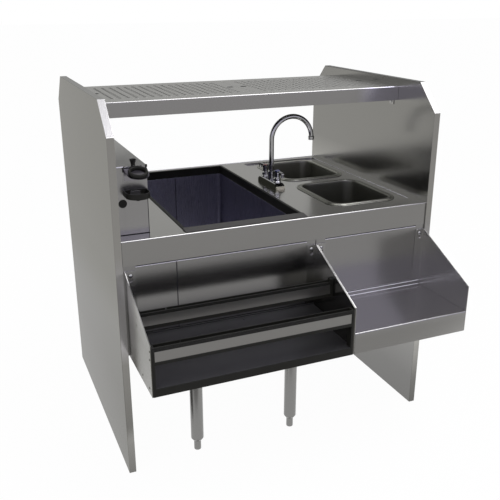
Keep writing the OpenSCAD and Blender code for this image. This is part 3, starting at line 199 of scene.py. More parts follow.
def brushed(name, light, dark, axis, rough, cloud=0.5, relief=0.14, painted_tone_by_height=None, painted_rim_by_height=None, edge_on=1.0,
            painted_light_patches=()):
    """Satin steel: light and dark are the two tones that the grain moves between.

    The height list holds (height, share): painted reflection and painted shade that change the
    sheet's tone up its height. A second list does the same for the narrow front edge of an end
    panel. edge_on dims what the sheet mirrors at a flat angle. The patch list holds
    ([(axis, start, stop), ...], share) of painted highlight and painted shade: a place where all
    the steps are past their stop takes that share.
    """
    p = Paint(name)
    p.bsdf.inputs["Specular Tint"].default_value = (edge_on, edge_on, edge_on, 1)
    grain = p.noise(COARSE_SCALE, GRAIN[axis], detail=5.0, rough=0.62)
    fine = p.noise(FINE_SCALE, GRAIN[axis], detail=2.0)
    clouds = p.noise(CLOUD_SCALE, detail=4.0, rough=0.55)
    tone = grain * 0.45 + fine * 0.2 + clouds * cloud * 0.7
    colour = base = p.blend(tone, dark, light)
    # Painted reflection and painted shade: the tone changes with height, on the end panels' front edges and in
    # patches
    if painted_tone_by_height:
        colour = p.by_height(base, painted_tone_by_height)
    if painted_rim_by_height:
        across = p.node("ShaderNodeMath", {"operation": "ABSOLUTE"}, {0: p.along("X")})
        outer = across.above(OUTER_FACE_X)
        colour = p.blend(outer, p.by_height(base, painted_rim_by_height), colour)
    for steps, share in painted_light_patches:
        inside = None
        for step_axis, start, stop in steps:
            step = p.ramp(p.along(step_axis), start, stop)
            inside = inside * step if inside else step
        colour = p.blend(inside, colour, p.tinted(colour, share))
    gloss = (grain - 0.5) * GLOSS_SWING + (clouds - 0.5) * GLOSS_SWING * cloud + rough
    return p.finish(colour, gloss, metal=1.0, height=grain * 0.7 + fine * 0.3, strength=relief, depth=0.00012)


def grey(share):
    return (share, share, share)


# Painted reflection and painted shade: the share of each sheet's colour up its height, for what it mirrors
END_PAN_PAINTED_REFLECTION = [
    (0.0, (0.39, 0.385, 0.34)), (0.27, (0.41, 0.40, 0.36)), (0.35, (0.47, 0.465, 0.425)),
    (0.44, (0.57, 0.565, 0.53)), (0.58, (0.85, 0.85, 0.82)), (0.70, grey(1.0))]
END_RIM_PAINTED_REFLECTION = [
    (0.0, grey(0.40)), (0.10, grey(0.54)), (0.20, grey(0.92)), (0.30, grey(1.06)), (0.38, grey(1.12)),
    (0.44, (1.72, 1.72, 1.84)), (0.55, (1.76, 1.76, 1.90)), (0.63, (1.46, 1.46, 1.58)), (0.72, grey(1.14)),
    (1.0, grey(1.10))]
LINER_PAINTED_REFLECTION = [
    (0.0, grey(0.4)), (0.1, grey(0.44)), (0.31, grey(0.70)), (0.52, grey(0.96)), (0.62, grey(1.0)),
    (0.77, grey(1.0)), (0.86, grey(0.73))]
BRACKET_PAINTED_REFLECTION = [
    (0.40, (0.37, 0.365, 0.34)), (0.53, (0.365, 0.36, 0.335)), (0.57, grey(0.58)), (0.61, (1.05, 1.05, 1.08))]
LANDING_PAINTED_SHADE = [(0.452, (0.90, 0.90, 0.88)), (0.474, grey(1.0))]
TONGUE_PAINTED_REFLECTION = [(0.9366, grey(1.0)), (0.9380, (0.22, 0.21, 0.245))]
# The narrow edges of the end pans, and the sloped corners at their tops, which take painted highlights and painted
# shade
LEFT_RIM = [("X", -0.50, -0.51), ("X", -0.5329, -0.5325)]
RIGHT_RIM = [("X", 0.50, 0.51), ("X", 0.5329, 0.5325)]
CORNER = ("Z", 1.0530, 1.0545)
END_PAINTED_LIGHT_PATCHES = [
    ([CORNER, *LEFT_RIM], (1.72, 1.73, 1.80)), ([CORNER, *RIGHT_RIM], (0.58, 0.58, 0.60)),
    ([("Z", 0.30, 0.22), *RIGHT_RIM], grey(0.74)),
    ([("Z", 0.40, 0.46), ("Z", 0.74, 0.68), *RIGHT_RIM], grey(0.89))]
# Painted shade over the drip trough under the inserts, and a painted highlight on the flange at its right end
FRAME_PAINTED_LIGHT_PATCHES = [
    ([("Y", -0.034, -0.030), ("Z", 1.106, 1.102)], grey(0.30)),
    ([("Y", -0.072, -0.075), ("X", 0.34, 0.42)], (1.52, 1.50, 1.76))]
STEEL = {
    "end": brushed("end steel", (0.52, 0.512, 0.485), (0.45, 0.443, 0.42), "z", 0.18, cloud=0.2, relief=0.07,
                   edge_on=0.6, painted_tone_by_height=END_PAN_PAINTED_REFLECTION, painted_rim_by_height=END_RIM_PAINTED_REFLECTION, painted_light_patches=END_PAINTED_LIGHT_PATCHES),
    "liner": brushed("end lining steel", (0.49, 0.485, 0.47), (0.41, 0.405, 0.395), "z", 0.20,
                     painted_tone_by_height=LINER_PAINTED_REFLECTION),
    "deck": brushed("deck steel", (0.50, 0.495, 0.48), (0.42, 0.415, 0.405), "x", 0.18, relief=0.08),
    "face": brushed("face steel", (0.48, 0.475, 0.47), (0.41, 0.405, 0.40), "x", 0.20),
    "shelf": brushed("shelf steel", (0.52, 0.515, 0.50), (0.43, 0.425, 0.41), "x", 0.24),
    "shelf frame": brushed("shelf frame steel", (0.52, 0.515, 0.50), (0.43, 0.425, 0.41), "x", 0.24,
                           painted_light_patches=FRAME_PAINTED_LIGHT_PATCHES),
    # The punched lips take a painted shade, far darker than the plate, for the dark of the holes
    "lip": brushed("punched lip steel with painted shade", (0.19, 0.19, 0.18), (0.13, 0.13, 0.125), "x", 0.34),
    "bracket": brushed("bracket steel", (0.50, 0.495, 0.48), (0.42, 0.415, 0.40), "y", 0.22,
                       painted_tone_by_height=BRACKET_PAINTED_REFLECTION),
    "landing": brushed("landing steel", (0.51, 0.505, 0.50), (0.45, 0.445, 0.44), "x", 0.20,
                       painted_tone_by_height=LANDING_PAINTED_SHADE),
    "chase": brushed("chase steel", (0.52, 0.515, 0.51), (0.46, 0.455, 0.45), "z", 0.24, cloud=0.25,
                     relief=0.08),
    "holster": brushed("holster steel", (0.50, 0.49, 0.51), (0.44, 0.43, 0.45), "z", 0.3, relief=0.05,
                       painted_tone_by_height=TONGUE_PAINTED_REFLECTION),
    "strip": brushed("strip steel", (0.46, 0.455, 0.435), (0.38, 0.375, 0.365), "x", 0.30),
    "tube": brushed("leg tube steel", (0.262, 0.26, 0.252), (0.21, 0.208, 0.203), "z", 0.24),
    "bin": brushed("bin steel", (0.50, 0.495, 0.60), (0.45, 0.445, 0.54), "z", 0.28, cloud=0.2, relief=0.06),
    # Both bowls are the same steel; the rear one is painted lighter than the front, as painted light
    "bowl": brushed("bowl steel", (0.30, 0.30, 0.265), (0.24, 0.242, 0.215), "x", 0.34, cloud=0.3),
    "rear bowl": brushed("rear bowl steel", (0.44, 0.44, 0.39), (0.37, 0.372, 0.33), "x", 0.34, cloud=0.3),
}
print(len(STEEL), "steel finishes")

# %% [markdown]
# ## Chrome, plastic and the plain metals
# The faucet is polished chrome, so its colour is nearly all reflection. What sells it is a
# little unevenness: a slow change in gloss where fingers and dried water have dulled it.
# Moulded black plastic is the opposite, a dark base under a fine pebbled skin.

# %% Chrome, plastic, zinc, brass and foam
CHROME_EDGE_ON = 0.45
TONE_EDGE = 0.001


def chrome(name, tone, rough, painted_dark_flank=None, painted_end_reflection=None):
    """Polished chrome. An (x, share) pair darkens the side before that x: a painted reflection of
    the collar's dark.

    A (y, colour) pair gives the end before that y a painted reflection of the deck in that
    colour, and makes it only a fifth metallic.
    """
    p = Paint(name)
    p.bsdf.inputs["Specular Tint"].default_value = (CHROME_EDGE_ON, CHROME_EDGE_ON, CHROME_EDGE_ON, 1)
    smear = p.noise(38.0, detail=4.0)
    spots = p.noise(420.0, detail=1.0)
    colour = p.blend(smear, (tone * 0.9, tone * 0.91, tone * 0.94), (tone, tone, tone * 0.99))
    # Painted reflection: a darker flank for the dark collar it faces, and an end in the deck's colour
    if painted_dark_flank:
        x, share = painted_dark_flank
        colour = p.blend(p.ramp(p.along("X"), x, x + TONE_EDGE), p.tinted(colour, share), colour)
    if painted_end_reflection:
        y, satin = painted_end_reflection
        past_painted_end = p.ramp(p.along("Y"), y, y + TONE_EDGE)
        colour = p.blend(past_painted_end, satin, colour)
    mat = p.finish(colour, smear * 0.06 + (spots - 0.5).most(0.0) * 0.1 + rough, metal=1.0)
    if painted_end_reflection:
        p.feed(p.bsdf.inputs["Metallic"], past_painted_end * 0.8 + 0.2)
    return mat


def moulded(name, light, dark, rough=0.42, pebble=900.0, relief=0.25, sheen=0.5, front=None):
    """Moulded plastic. front is (y, colour): what lies in front of that y takes that colour as painted light."""
    p = Paint(name)
    p.bsdf.inputs["Specular IOR Level"].default_value = sheen
    skin = p.noise(pebble, detail=2.0)
    wear = p.noise(14.0, detail=4.0)
    colour = p.blend(wear, dark, light)
    # Painted light: what lies in front takes a lighter colour
    if front:
        y, ledge_painted_light = front
        colour = p.blend(p.ramp(p.along("Y"), y, y + 3 * TONE_EDGE), ledge_painted_light, colour)
    return p.finish(colour, wear * 0.14 + rough - 0.07, height=skin, strength=relief, depth=0.0001)


def zinc(name):
    p = Paint(name)
    spangle = p.node("ShaderNodeTexVoronoi", None, {"Vector": p.place(), "Scale": 90.0}, output="Distance")
    clouds = p.noise(9.0)
    colour = p.blend(spangle * 0.8 + clouds * 0.3, (0.34, 0.35, 0.36), (0.5, 0.51, 0.52))
    return p.finish(colour, spangle * 0.15 + 0.38, metal=1.0)


def brass(name):
    p = Paint(name)
    tarnish = p.noise(60.0, detail=5.0)
    colour = p.blend(tarnish, (0.42, 0.30, 0.13), (0.62, 0.48, 0.24))
    return p.finish(colour, tarnish * 0.2 + 0.22, metal=1.0, height=tarnish, strength=0.1)


def foam(name):
    p = Paint(name)
    cells = p.node("ShaderNodeTexVoronoi", None, {"Vector": p.place(), "Scale": 700.0}, output="Distance")
    colour = p.blend(cells, (0.62, 0.52, 0.26), (0.80, 0.71, 0.42))
    return p.finish(colour, 0.85, height=cells, strength=0.5, depth=0.0006)


# The collar's front ledge is painted lighter than its sides, as painted light
COLLAR_LEDGE_Y = -0.2395
# Where the faucet base's painted dark flank and painted end reflection start
BASE_FLANK_X, BASE_CAP_Y = 0.1212, 0.0585
BLACK = moulded("black plastic", (0.013, 0.013, 0.010), (0.008, 0.008, 0.006), sheen=0.3)
COLLAR = moulded("collar plastic", (0.022, 0.022, 0.020), (0.014, 0.014, 0.013), rough=0.36, relief=0.12,
                 sheen=0.04, front=(COLLAR_LEDGE_Y, (0.070, 0.069, 0.066)))
SATIN = moulded("satin black plastic", (0.019, 0.019, 0.017), (0.012, 0.012, 0.010), rough=0.46, relief=0.05,
                sheen=0.12)
COATED = moulded("black coating", (0.034, 0.034, 0.035), (0.020, 0.020, 0.021), rough=0.30, pebble=500.0,
                 relief=0.05, sheen=0.4)
CHROME = chrome("polished chrome", 0.72, 0.05)
BASE = chrome("chrome of the faucet base", 0.72, 0.08, painted_dark_flank=(BASE_FLANK_X, (0.12, 0.12, 0.10)),
              painted_end_reflection=(BASE_CAP_Y, (0.46, 0.44, 0.36)))
BRIGHT = chrome("bright steel", 0.6, 0.16)
BOLT = chrome("bolt steel", 0.34, 0.28)
ZINC = zinc("galvanized steel")
BRASS = brass("brass")
FOAM = foam("insulation foam")
RED = moulded("red index plastic", (0.40, 0.035, 0.03), (0.28, 0.02, 0.02), rough=0.25, relief=0.05)
BLUE = moulded("blue index plastic", (0.03, 0.05, 0.32), (0.02, 0.03, 0.22), rough=0.25, relief=0.05)
print("plain finishes ready")

# %% [markdown]
# ## From loose triangles to a finished piece
# A CAD node arrives as loose triangles with knife-sharp edges. Real folded sheet never has
# those: every bend and cut edge catches a thin line of light. The skin of a node is a copy
# that is welded, its flat faces joined again, and then bevelled by a few tenths of a
# millimetre. Normals weighted by area keep the flats flat, so only the edges shine.

# %% Helpers for pieces
WELD_DISTANCE = 2e-6
FLAT_ANGLE, BEND_ANGLE = math.radians(0.4), math.radians(28)


def hand_over(piece, node):
    """Seats a finished piece in the frame in place of one CAD node."""
    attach(piece, BODY_OF[node])
    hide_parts(node)
    return piece


def plain(obj, name):
    """Turns an object and its modifiers into a plain mesh object at the origin."""
    depsgraph = bpy.context.evaluated_depsgraph_get()
    mesh = bpy.data.meshes.new_from_object(obj.evaluated_get(depsgraph), depsgraph=depsgraph)
    mesh.name = name
    obj.modifiers.clear()
    if obj.type == "MESH":
        obj.data = mesh
        obj.name = name
        return obj
    new = new_object(name, mesh)
    bpy.data.objects.remove(obj)
    return new


def new_object(name, data):
    obj = bpy.data.objects.new(name, data)
    bpy.context.scene.collection.objects.link(obj)
    return obj


def welded(node):
    """A bmesh of a CAD node with its triangles joined and its flat faces whole."""
    bm = bmesh.new()
    bm.from_mesh(frame["nodes"][node].data)
    bmesh.ops.remove_doubles(bm, verts=bm.verts, dist=WELD_DISTANCE)
    bmesh.ops.dissolve_limit(bm, angle_limit=FLAT_ANGLE, verts=bm.verts, edges=bm.edges)
    return bm


def skin(node, material, edge, rounds=2):
    """A finished copy of a CAD node with softened edges."""
    bm = welded(node)
    mesh = bpy.data.meshes.new(node + "_skin")
    bm.to_mesh(mesh)
    bm.free()
    mesh.materials.clear()
    mesh.materials.append(material)
    mesh.polygons.foreach_set("use_smooth", [True] * len(mesh.polygons))
    mesh.polygons.foreach_set("material_index", [0] * len(mesh.polygons))
    obj = new_object(node + "_skin", mesh)
    bevel = obj.modifiers.new("edge", "BEVEL")
    bevel.width, bevel.segments = edge, rounds
    bevel.limit_method, bevel.angle_limit = "ANGLE", BEND_ANGLE
    flat = obj.modifiers.new("flats", "WEIGHTED_NORMAL")
    flat.weight, flat.keep_sharp = 100, True
    return hand_over(plain(obj, node + "_skin"), node)


def clothe(node, material):
    """Gives a CAD node that keeps its own mesh a better material."""
    for slot in frame["nodes"][node].material_slots:
        slot.material = material


print("piece helpers ready")

# %% [markdown]
# ## The sheet metal
# Which node gets which finish is a table, with the width of its softened edge. Brushed
# sheets show a thin bright line at each bend, so the folds that face the bartender get
# the wider edge. Pieces that are buried in the body keep their CAD mesh.

# %% Dress the sheet metal and the moulded pieces
SKINS = {
    "left_end_pan": ("end", 0.0005), "right_end_pan": ("end", 0.0005),
    "left_end_liner": ("liner", 0.0004), "right_end_liner": ("liner", 0.0004),
    "deck": ("deck", 0.0005), "front_panel_left": ("face", 0.0004),
    "front_panel_middle": ("face", 0.0004), "front_panel_right": ("face", 0.0004),
    "shelf_frame": ("shelf frame", 0.0004), "shelf_cleats": ("face", 0.0004),
    "bin_liner": ("bin", 0.0004), "bin_false_bottom": ("face", 0.0003),
    "rail_bracket_left": ("bracket", 0.0007), "rail_bracket_right": ("bracket", 0.0007),
    "rail_strips": ("strip", 0.0004), "landing_bracket_left": ("landing", 0.0007),
    "landing_bracket_right": ("landing", 0.0007), "landing_tray": ("landing", 0.0005),
    "chase_shell": ("chase", 0.0005), "holster_bracket": ("holster", 0.0005), "cup_saddle": ("chase", 0.0003),
    "legs": ("tube", 0.0004), "foot_front_left": ("tube", 0.0006), "foot_front_right": ("tube", 0.0006),
    "foot_rear_left": ("tube", 0.0006), "foot_rear_right": ("tube", 0.0006),
}
for node, (steel, edge) in SKINS.items():
    skin(node, STEEL[steel], edge)
MOULDS = {
    "bin_collar": (COLLAR, 0.0012), "rail_floor": (COATED, 0.0004), "rail_rear_shelf": (COATED, 0.0004),
    "rail_front_frame": (BLACK, 0.0008), "rail_rear_frame": (BLACK, 0.0008),
    "holster_ring": (SATIN, 0.0004), "drip_cup": (SATIN, 0.0008), "hole_plug": (BLACK, 0.0005),
    "hose_funnel": (SATIN, 0.0003), "edge_clip": (BLACK, 0.0004),
    "faucet_base": (BASE, 0.0012), "spout_nut": (CHROME, 0.0006),
    "valve_bonnets": (CHROME, 0.0008), "hot_handle": (CHROME, 0.0012), "cold_handle": (CHROME, 0.0012),
    "hot_index": (RED, 0.0003), "cold_index": (BLUE, 0.0003),
}
for node, (material, edge) in MOULDS.items():
    skin(node, material, edge, rounds=3)
for node, material in {
    "back_panel": ZINC, "base_frame": ZINC, "bin_jacket": ZINC, "leg_sockets": ZINC, "bin_insulation": FOAM,
    "bin_drain": BRASS, "faucet_shanks": BRASS, "sink_drains": BRIGHT, "shelf_screws": BRIGHT,
}.items():
    clothe(node, material)
print("dressed", len(SKINS) + len(MOULDS), "nodes")

# %% [markdown]
# ## A gooseneck from Geometry Nodes
# The spout is a round tube that follows a path: straight up, over in a half circle, and a
# short way down. A path and a round profile describe it exactly, so a node tree sweeps the
# profile along the curve. The tube's radii are named inputs of the tree.

# %% A small builder for Geometry Nodes trees
class Tree:
    """Builds one Geometry Nodes tree with named inputs."""

    def __init__(self, name, inputs):
        self.group = bpy.data.node_groups.new(name, "GeometryNodeTree")
        face = self.group.interface
        face.new_socket("Geometry", in_out="INPUT", socket_type="NodeSocketGeometry")
        face.new_socket("Geometry", in_out="OUTPUT", socket_type="NodeSocketGeometry")
        self.ids = {}
        for label, (kind, value) in inputs.items():
            socket = face.new_socket(label, in_out="INPUT", socket_type=kind)
            if value is not None:
                socket.default_value = value
            self.ids[label] = socket.identifier
        self.start = self.group.nodes.new("NodeGroupInput")
        self.end = self.group.nodes.new("NodeGroupOutput")

    def node(self, kind, settings=None, inputs=None):
        n = self.group.nodes.new(kind)
        for key, value in (settings or {}).items():
            setattr(n, key, value)
        for key, value in (inputs or {}).items():
            if isinstance(value, bpy.types.NodeSocket):
                self.group.links.new(value, n.inputs[key])
            else:
                n.inputs[key].default_value = value
        return n

    def given(self, label):
        return self.start.outputs[label]

    def close(self, geometry):
        """Ends the tree in Realize Instances and Set Material."""
        real = self.node("GeometryNodeRealizeInstances", None, {"Geometry": geometry})
        named = self.node("GeometryNodeSetMaterial", None,
                          {"Geometry": real.outputs[0], "Material": self.given("Finish")})
        self.group.links.new(named.outputs[0], self.end.inputs[0])

    def grow(self, obj, name, **values):
        """Runs the tree on an object and returns the result as a plain mesh object."""
        mod = obj.modifiers.new(name, "NODES")
        mod.node_group = self.group
        for label, value in values.items():
            mod[self.ids[label.replace("_", " ")]] = value
        return plain(obj, name)


SWEEP = Tree("tube along a path", {"Radius": ("NodeSocketFloat", 0.009), "Sides": ("NodeSocketInt", 40),
                                   "Finish": ("NodeSocketMaterial", None)})
ring = SWEEP.node("GeometryNodeCurvePrimitiveCircle", None, {
    "Resolution": SWEEP.given("Sides"), "Radius": SWEEP.given("Radius")})
tube = SWEEP.node("GeometryNodeCurveToMesh", None, {
    "Curve": SWEEP.given("Geometry"), "Profile Curve": ring.outputs[0], "Fill Caps": True})
SWEEP.close(tube.outputs[0])


def path(name, points):
    """A curve object through points, for a tree to sweep along."""
    curve = bpy.data.curves.new(name, "CURVE")
    curve.dimensions = "3D"
    spline = curve.splines.new("POLY")
    spline.points.add(len(points) - 1)
    for p, co in zip(spline.points, points):
        p.co = (*co, 1)
    return new_object(name, curve)


def smooth(obj, limit=30):
    """Smooth shading with the sharp edges kept."""
    mesh = obj.data
    mesh.polygons.foreach_set("use_smooth", [True] * len(mesh.polygons))
    bm = bmesh.new()
    bm.from_mesh(mesh)
    for e in bm.edges:
        e.smooth = len(e.link_faces) == 2 and e.calc_face_angle(0) < math.radians(limit)
    bm.to_mesh(mesh)
    bm.free()
    return obj


# %% The gooseneck
RISER_STEPS, ARCH_STEPS = 6, 48
OUTLET_DROP = 0.006
lo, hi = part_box("faucet_spout")
tube_r = (hi.y - lo.y) / 2
arch_r = (hi.x - lo.x) / 2 - tube_r
axis_x, axis_y = lo.x + tube_r, (lo.y + hi.y) / 2
spring_z = hi.z - tube_r - arch_r
steps = [(axis_x, axis_y, lo.z + (spring_z - lo.z) * k / RISER_STEPS) for k in range(RISER_STEPS)]
for k in range(ARCH_STEPS + 1):
    turn = math.pi * k / ARCH_STEPS
    steps.append((axis_x + arch_r * (1 - math.cos(turn)), axis_y, spring_z + arch_r * math.sin(turn)))
steps.append((axis_x + 2 * arch_r, axis_y, spring_z - OUTLET_DROP))
spout = SWEEP.grow(path("spout_path", steps), "gooseneck", Radius=tube_r, Sides=48, Finish=CHROME)
hand_over(smooth(spout), "faucet_spout")
print("gooseneck", len(spout.data.polygons), "faces, arch radius", round(arch_r, 4))

# %% [markdown]
# ## Painted shade and highlight lines
# Where two sheets meet, a hair-thin dark line is painted shade in the seam, and a light line
# beside it is a painted highlight on the folded edge. From two metres these lines are what
# separates the apron from the panels. The same sweep draws them along straight paths taken
# from the boxes, with dark lines between the front panels and along the weld in the bin's wall,
# and a dark disc of painted shade in the cup's drain hole. The apron's lines stop beside the
# hanging brackets, which slide up across them.

# %% Painted shade lines and painted highlights
# Painted shade for the seams, a painted highlight for the folds, and painted shade for the drain hole
SHADE_LINE = moulded("painted shade line", (0.012, 0.012, 0.016), (0.007, 0.007, 0.010), rough=0.55, sheen=0.15)
FOLD_HIGHLIGHT = moulded("painted fold highlight", (0.86, 0.85, 0.92), (0.78, 0.77, 0.85), rough=0.4, relief=0.05)
DRAIN_SHADE = moulded("painted shade of the drain hole", (0.003, 0.003, 0.003), (0.002, 0.002, 0.002), rough=0.9, sheen=0.0)


def bead(name, node, material, radius, *line):
    """A thin straight bead that rides with a node's body.

    line is x, y and z, and the one that the bead runs along is a pair: its start and its end.
    """
    ends = [tuple(v[k] if isinstance(v, tuple) else v for v in line) for k in (0, 1)]
    piece = SWEEP.grow(path(name + "_path", ends), name, Radius=radius, Sides=24, Finish=material)
    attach(smooth(piece), BODY_OF[node])
    return piece


APRON_DEPTH = 0.076
SHADOW_LINE_DROP, HIGHLIGHT_DROP = 0.0016, 0.0042
SEAM_SHADE_R, SEAM_SHADE_INSET = 0.005, 0.0048
RECESS_X, RECESS_Y = 0.4868, (-0.212, 0.468)
CORNER_TOP_Z, NOTCH_X = 0.868, (-0.4785, -0.4600)
CHASE_FOLD_END_X = -0.4815
TRAY_STEP = 0.0138
BIN_WELD_X, BIN_WELD_IN, BIN_WELD_Z = -0.1228, 0.0226, (0.50, 0.732)
CUP_FLOOR = 0.0034
deck_lo, deck_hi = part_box("deck")
panel_lo, panel_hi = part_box("front_panel_middle")
left_hi, right_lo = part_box("front_panel_left")[1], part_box("front_panel_right")[0]
chase_lo, chase_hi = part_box("chase_shell")
liner_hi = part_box("bin_liner")[1]
tray_lo, tray_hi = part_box("landing_tray")
cup_lo, cup_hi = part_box("drip_cup")
apron_z, face_y, deck_z = deck_hi.z - APRON_DEPTH, panel_lo.y, deck_hi.z
chase_y, chase_z = chase_lo.y, (deck_z + 0.002, chase_hi.z - 0.002)
left_x, right_x = (left_hi.x + panel_lo.x) / 2, (right_lo.x + panel_hi.x) / 2
seam_shade_z = (panel_lo.z + 0.002, panel_hi.z - 0.003)
tray_x = (tray_lo.x + 0.002, tray_hi.x - 0.002)
# The dark lines are painted shade and the light lines painted highlights
joints = []
for side in ("rail", "landing"):
    left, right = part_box(side + "_bracket_left")[1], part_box(side + "_bracket_right")[0]
    between = (left.x + 0.001, right.x - 0.001)
    joints += [("apron_joint_" + side, "deck", SHADE_LINE, 0.0015, between, face_y + 0.0003, apron_z - SHADOW_LINE_DROP),
               ("panel_fold_" + side, "deck", FOLD_HIGHLIGHT, 0.0011, between, face_y + 0.0005, apron_z - HIGHLIGHT_DROP)]
# Each row is name, node, material, radius, x, y and z, set on its edge from the box of the node
joints += [
    ("left_panel_cord", "deck", SHADE_LINE, SEAM_SHADE_R, left_x, face_y + SEAM_SHADE_INSET, seam_shade_z),
    ("right_panel_cord", "deck", SHADE_LINE, SEAM_SHADE_R, right_x, face_y + SEAM_SHADE_INSET, seam_shade_z),
    ("apron_end_joint", "deck", SHADE_LINE, 0.0010, deck_lo.x + 0.0002, deck_lo.y + 0.0002,
     (apron_z, deck_z - 0.004)),
    ("deck_back_fold", "deck", FOLD_HIGHLIGHT, 0.0020, (deck_lo.x + 0.002, deck_hi.x - 0.002), deck_hi.y - 0.0016,
     deck_z - 0.0008),
    ("recess_crease", "deck", FOLD_HIGHLIGHT, 0.0008, RECESS_X, RECESS_Y, deck_z - 0.0003),
    ("chase_foot_joint", "chase_shell", SHADE_LINE, 0.0011, (chase_lo.x + 0.002, chase_hi.x), chase_y - 0.0004,
     deck_z + 0.0008),
    ("chase_corner_joint", "chase_shell", SHADE_LINE, 0.0010, chase_hi.x - 0.0012, chase_y + 0.0003,
     (chase_z[0], CORNER_TOP_Z)),
    ("chase_left_joint", "chase_shell", SHADE_LINE, 0.0008, chase_lo.x + 0.0008, chase_y, chase_z),
    ("chase_top_fold", "chase_shell", FOLD_HIGHLIGHT, 0.0014, (chase_lo.x + 0.001, CHASE_FOLD_END_X), chase_y + 0.0008,
     chase_hi.z - 0.001),
    ("chase_notch_fold", "chase_shell", FOLD_HIGHLIGHT, 0.0009, NOTCH_X, chase_y + 0.0008, chase_hi.z - 0.0016),
    ("tray_lip_fold", "landing_tray", FOLD_HIGHLIGHT, 0.0010, tray_x, tray_hi.y - 0.0009, tray_hi.z - 0.0008),
    ("tray_heel_fold", "landing_tray", FOLD_HIGHLIGHT, 0.0009, tray_x, tray_hi.y - 0.0018, tray_hi.z - TRAY_STEP),
    ("bin_wall_weld", "bin_liner", SHADE_LINE, 0.0010, BIN_WELD_X, liner_hi.y - BIN_WELD_IN, BIN_WELD_Z),
    ("cup_drain", "drip_cup", DRAIN_SHADE, 0.0055, (cup_lo.x + cup_hi.x) / 2, (cup_lo.y + cup_hi.y) / 2 - 0.006,
     (cup_lo.z + CUP_FLOOR - 0.0004, cup_lo.z + CUP_FLOOR + 0.0004)),
]
for joint in joints:
    bead(*joint)
print(len(joints), "painted shade and highlight lines")

# %% [markdown]
# ## Lathed pieces
# The aerator is turned on a lathe, so it is a profile spun round its axis. The
# profile is a list of radius and height pairs.

# %% The aerator
def lathe(name, centre, profile, sides, material):
    """Spins a closed profile of (radius, height) pairs into a solid."""
    bm = bmesh.new()
    rings = []
    for k in range(sides):
        a = 2 * math.pi * k / sides
        rings.append([bm.verts.new((centre[0] + r * math.cos(a), centre[1] + r * math.sin(a), centre[2] + h))
                      for r, h in profile])
    count = len(profile)
    for k in range(sides):
        here, there = rings[k], rings[(k + 1) % sides]
        for i in range(count):
            j = (i + 1) % count
            bm.faces.new((here[i], there[i], there[j], here[j]))
    bmesh.ops.recalc_face_normals(bm, faces=bm.faces)
    mesh = bpy.data.meshes.new(name)
    bm.to_mesh(mesh)
    bm.free()
    mesh.materials.append(material)
    return new_object(name, mesh)


lo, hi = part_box("spout_aerator")
r, h = (hi.x - lo.x) / 2, hi.z - lo.z
bore, screen_z = 0.0072, 0.004
inner = tube_r + 0.0002
aerator = lathe("aerator", ((lo.x + hi.x) / 2, (lo.y + hi.y) / 2, lo.z), [
    (bore, 0.0006), (bore + 0.0006, 0.0), (r - 0.0016, 0.0), (r - 0.0006, 0.0008), (r - 0.0006, 0.0045),
    (r, 0.0052), (r, 0.0118), (r - 0.0006, 0.0126), (r - 0.0018, h), (inner, h), (inner, screen_z),
    (bore, screen_z)], 64, CHROME)
hand_over(smooth(aerator), "spout_aerator")
print("aerator", len(aerator.data.polygons), "faces")

# %% [markdown]
# ## Drawn bowls
# A bowl is pressed from one sheet, so every corner is round in plan and in section. The
# shape is a stack of rounded rectangles: out over the rolled rim, down the tapered wall,
# round the floor's edge and in to the drain, then back along the underside. Joining
# each ring to the next gives one closed skin with a real thickness.

# %% A loft of rounded rectangles
CORNER_STEPS = 10


def rounded(x0, y0, x1, y1, r, z):
    """Points of a rounded rectangle, anticlockwise from above."""
    r = min(r, (x1 - x0) / 2 - 1e-5, (y1 - y0) / 2 - 1e-5)
    points = []
    corners = ((x1 - r, y0 + r, -90), (x1 - r, y1 - r, 0), (x0 + r, y1 - r, 90), (x0 + r, y0 + r, 180))
    for cx, cy, start in corners:
        for k in range(CORNER_STEPS + 1):
            a = math.radians(start + 90 * k / CORNER_STEPS)
            points.append((cx + r * math.cos(a), cy + r * math.sin(a), z))
    return points


def loft(name, rings, material):
    """Joins rings of equal length, the last back to the first, into a closed skin."""
    bm = bmesh.new()
    rows = [[bm.verts.new(p) for p in ring] for ring in rings]
    for a, b in zip(rows, rows[1:] + rows[:1]):
        for i in range(len(a)):
            j = (i + 1) % len(a)
            bm.faces.new((a[i], a[j], b[j], b[i]))
    bmesh.ops.recalc_face_normals(bm, faces=bm.faces)
    mesh = bpy.data.meshes.new(name)
    bm.to_mesh(mesh)
    bm.free()
    mesh.materials.append(material)
    return new_object(name, mesh)


# %% The two bowls
# Each row is (how far in from the bowl's box, height over the deck's recess, corner radius)
RIM = [(0.0, 0.0002, 0.062), (0.0, 0.0016, 0.062), (0.0008, 0.0024, 0.061), (0.0055, 0.0024, 0.057),
       (0.0062, 0.0016, 0.056), (0.0078, 0.0016, 0.055), (0.0086, 0.0028, 0.054), (0.0096, 0.0042, 0.053),
       (0.0112, 0.0050, 0.052), (0.0175, 0.0050, 0.046), (0.0190, 0.0046, 0.044), (0.0203, 0.0036, 0.043)]
THROAT = [(0.0209, 0.0018, 0.042), (0.0212, -0.004, 0.042)]
LIP = [(0.0200, 0.0002, 0.043), (0.0060, 0.0002, 0.056)]
DRAIN_RINGS = [(0.060, 0.0002), (0.0445, 0.0006), (0.0348, 0.0008)]
BOWL_SHEET, RECESS_DEPTH = 0.0012, 0.005
WALL_DRAFT, WALL_TIGHTEN = 0.00774, 0.002
CURL_IN, FLOOR_CURL, CURL_CORNER, CURL_TIGHTEN = 0.0013, 0.030, 0.040, 0.012
UNDER_OUT, UNDER_DROP, UNDER_CORNER = 0.0011, 0.0002, 0.001
WALL_STEPS, CURL_STEPS = 8, 9


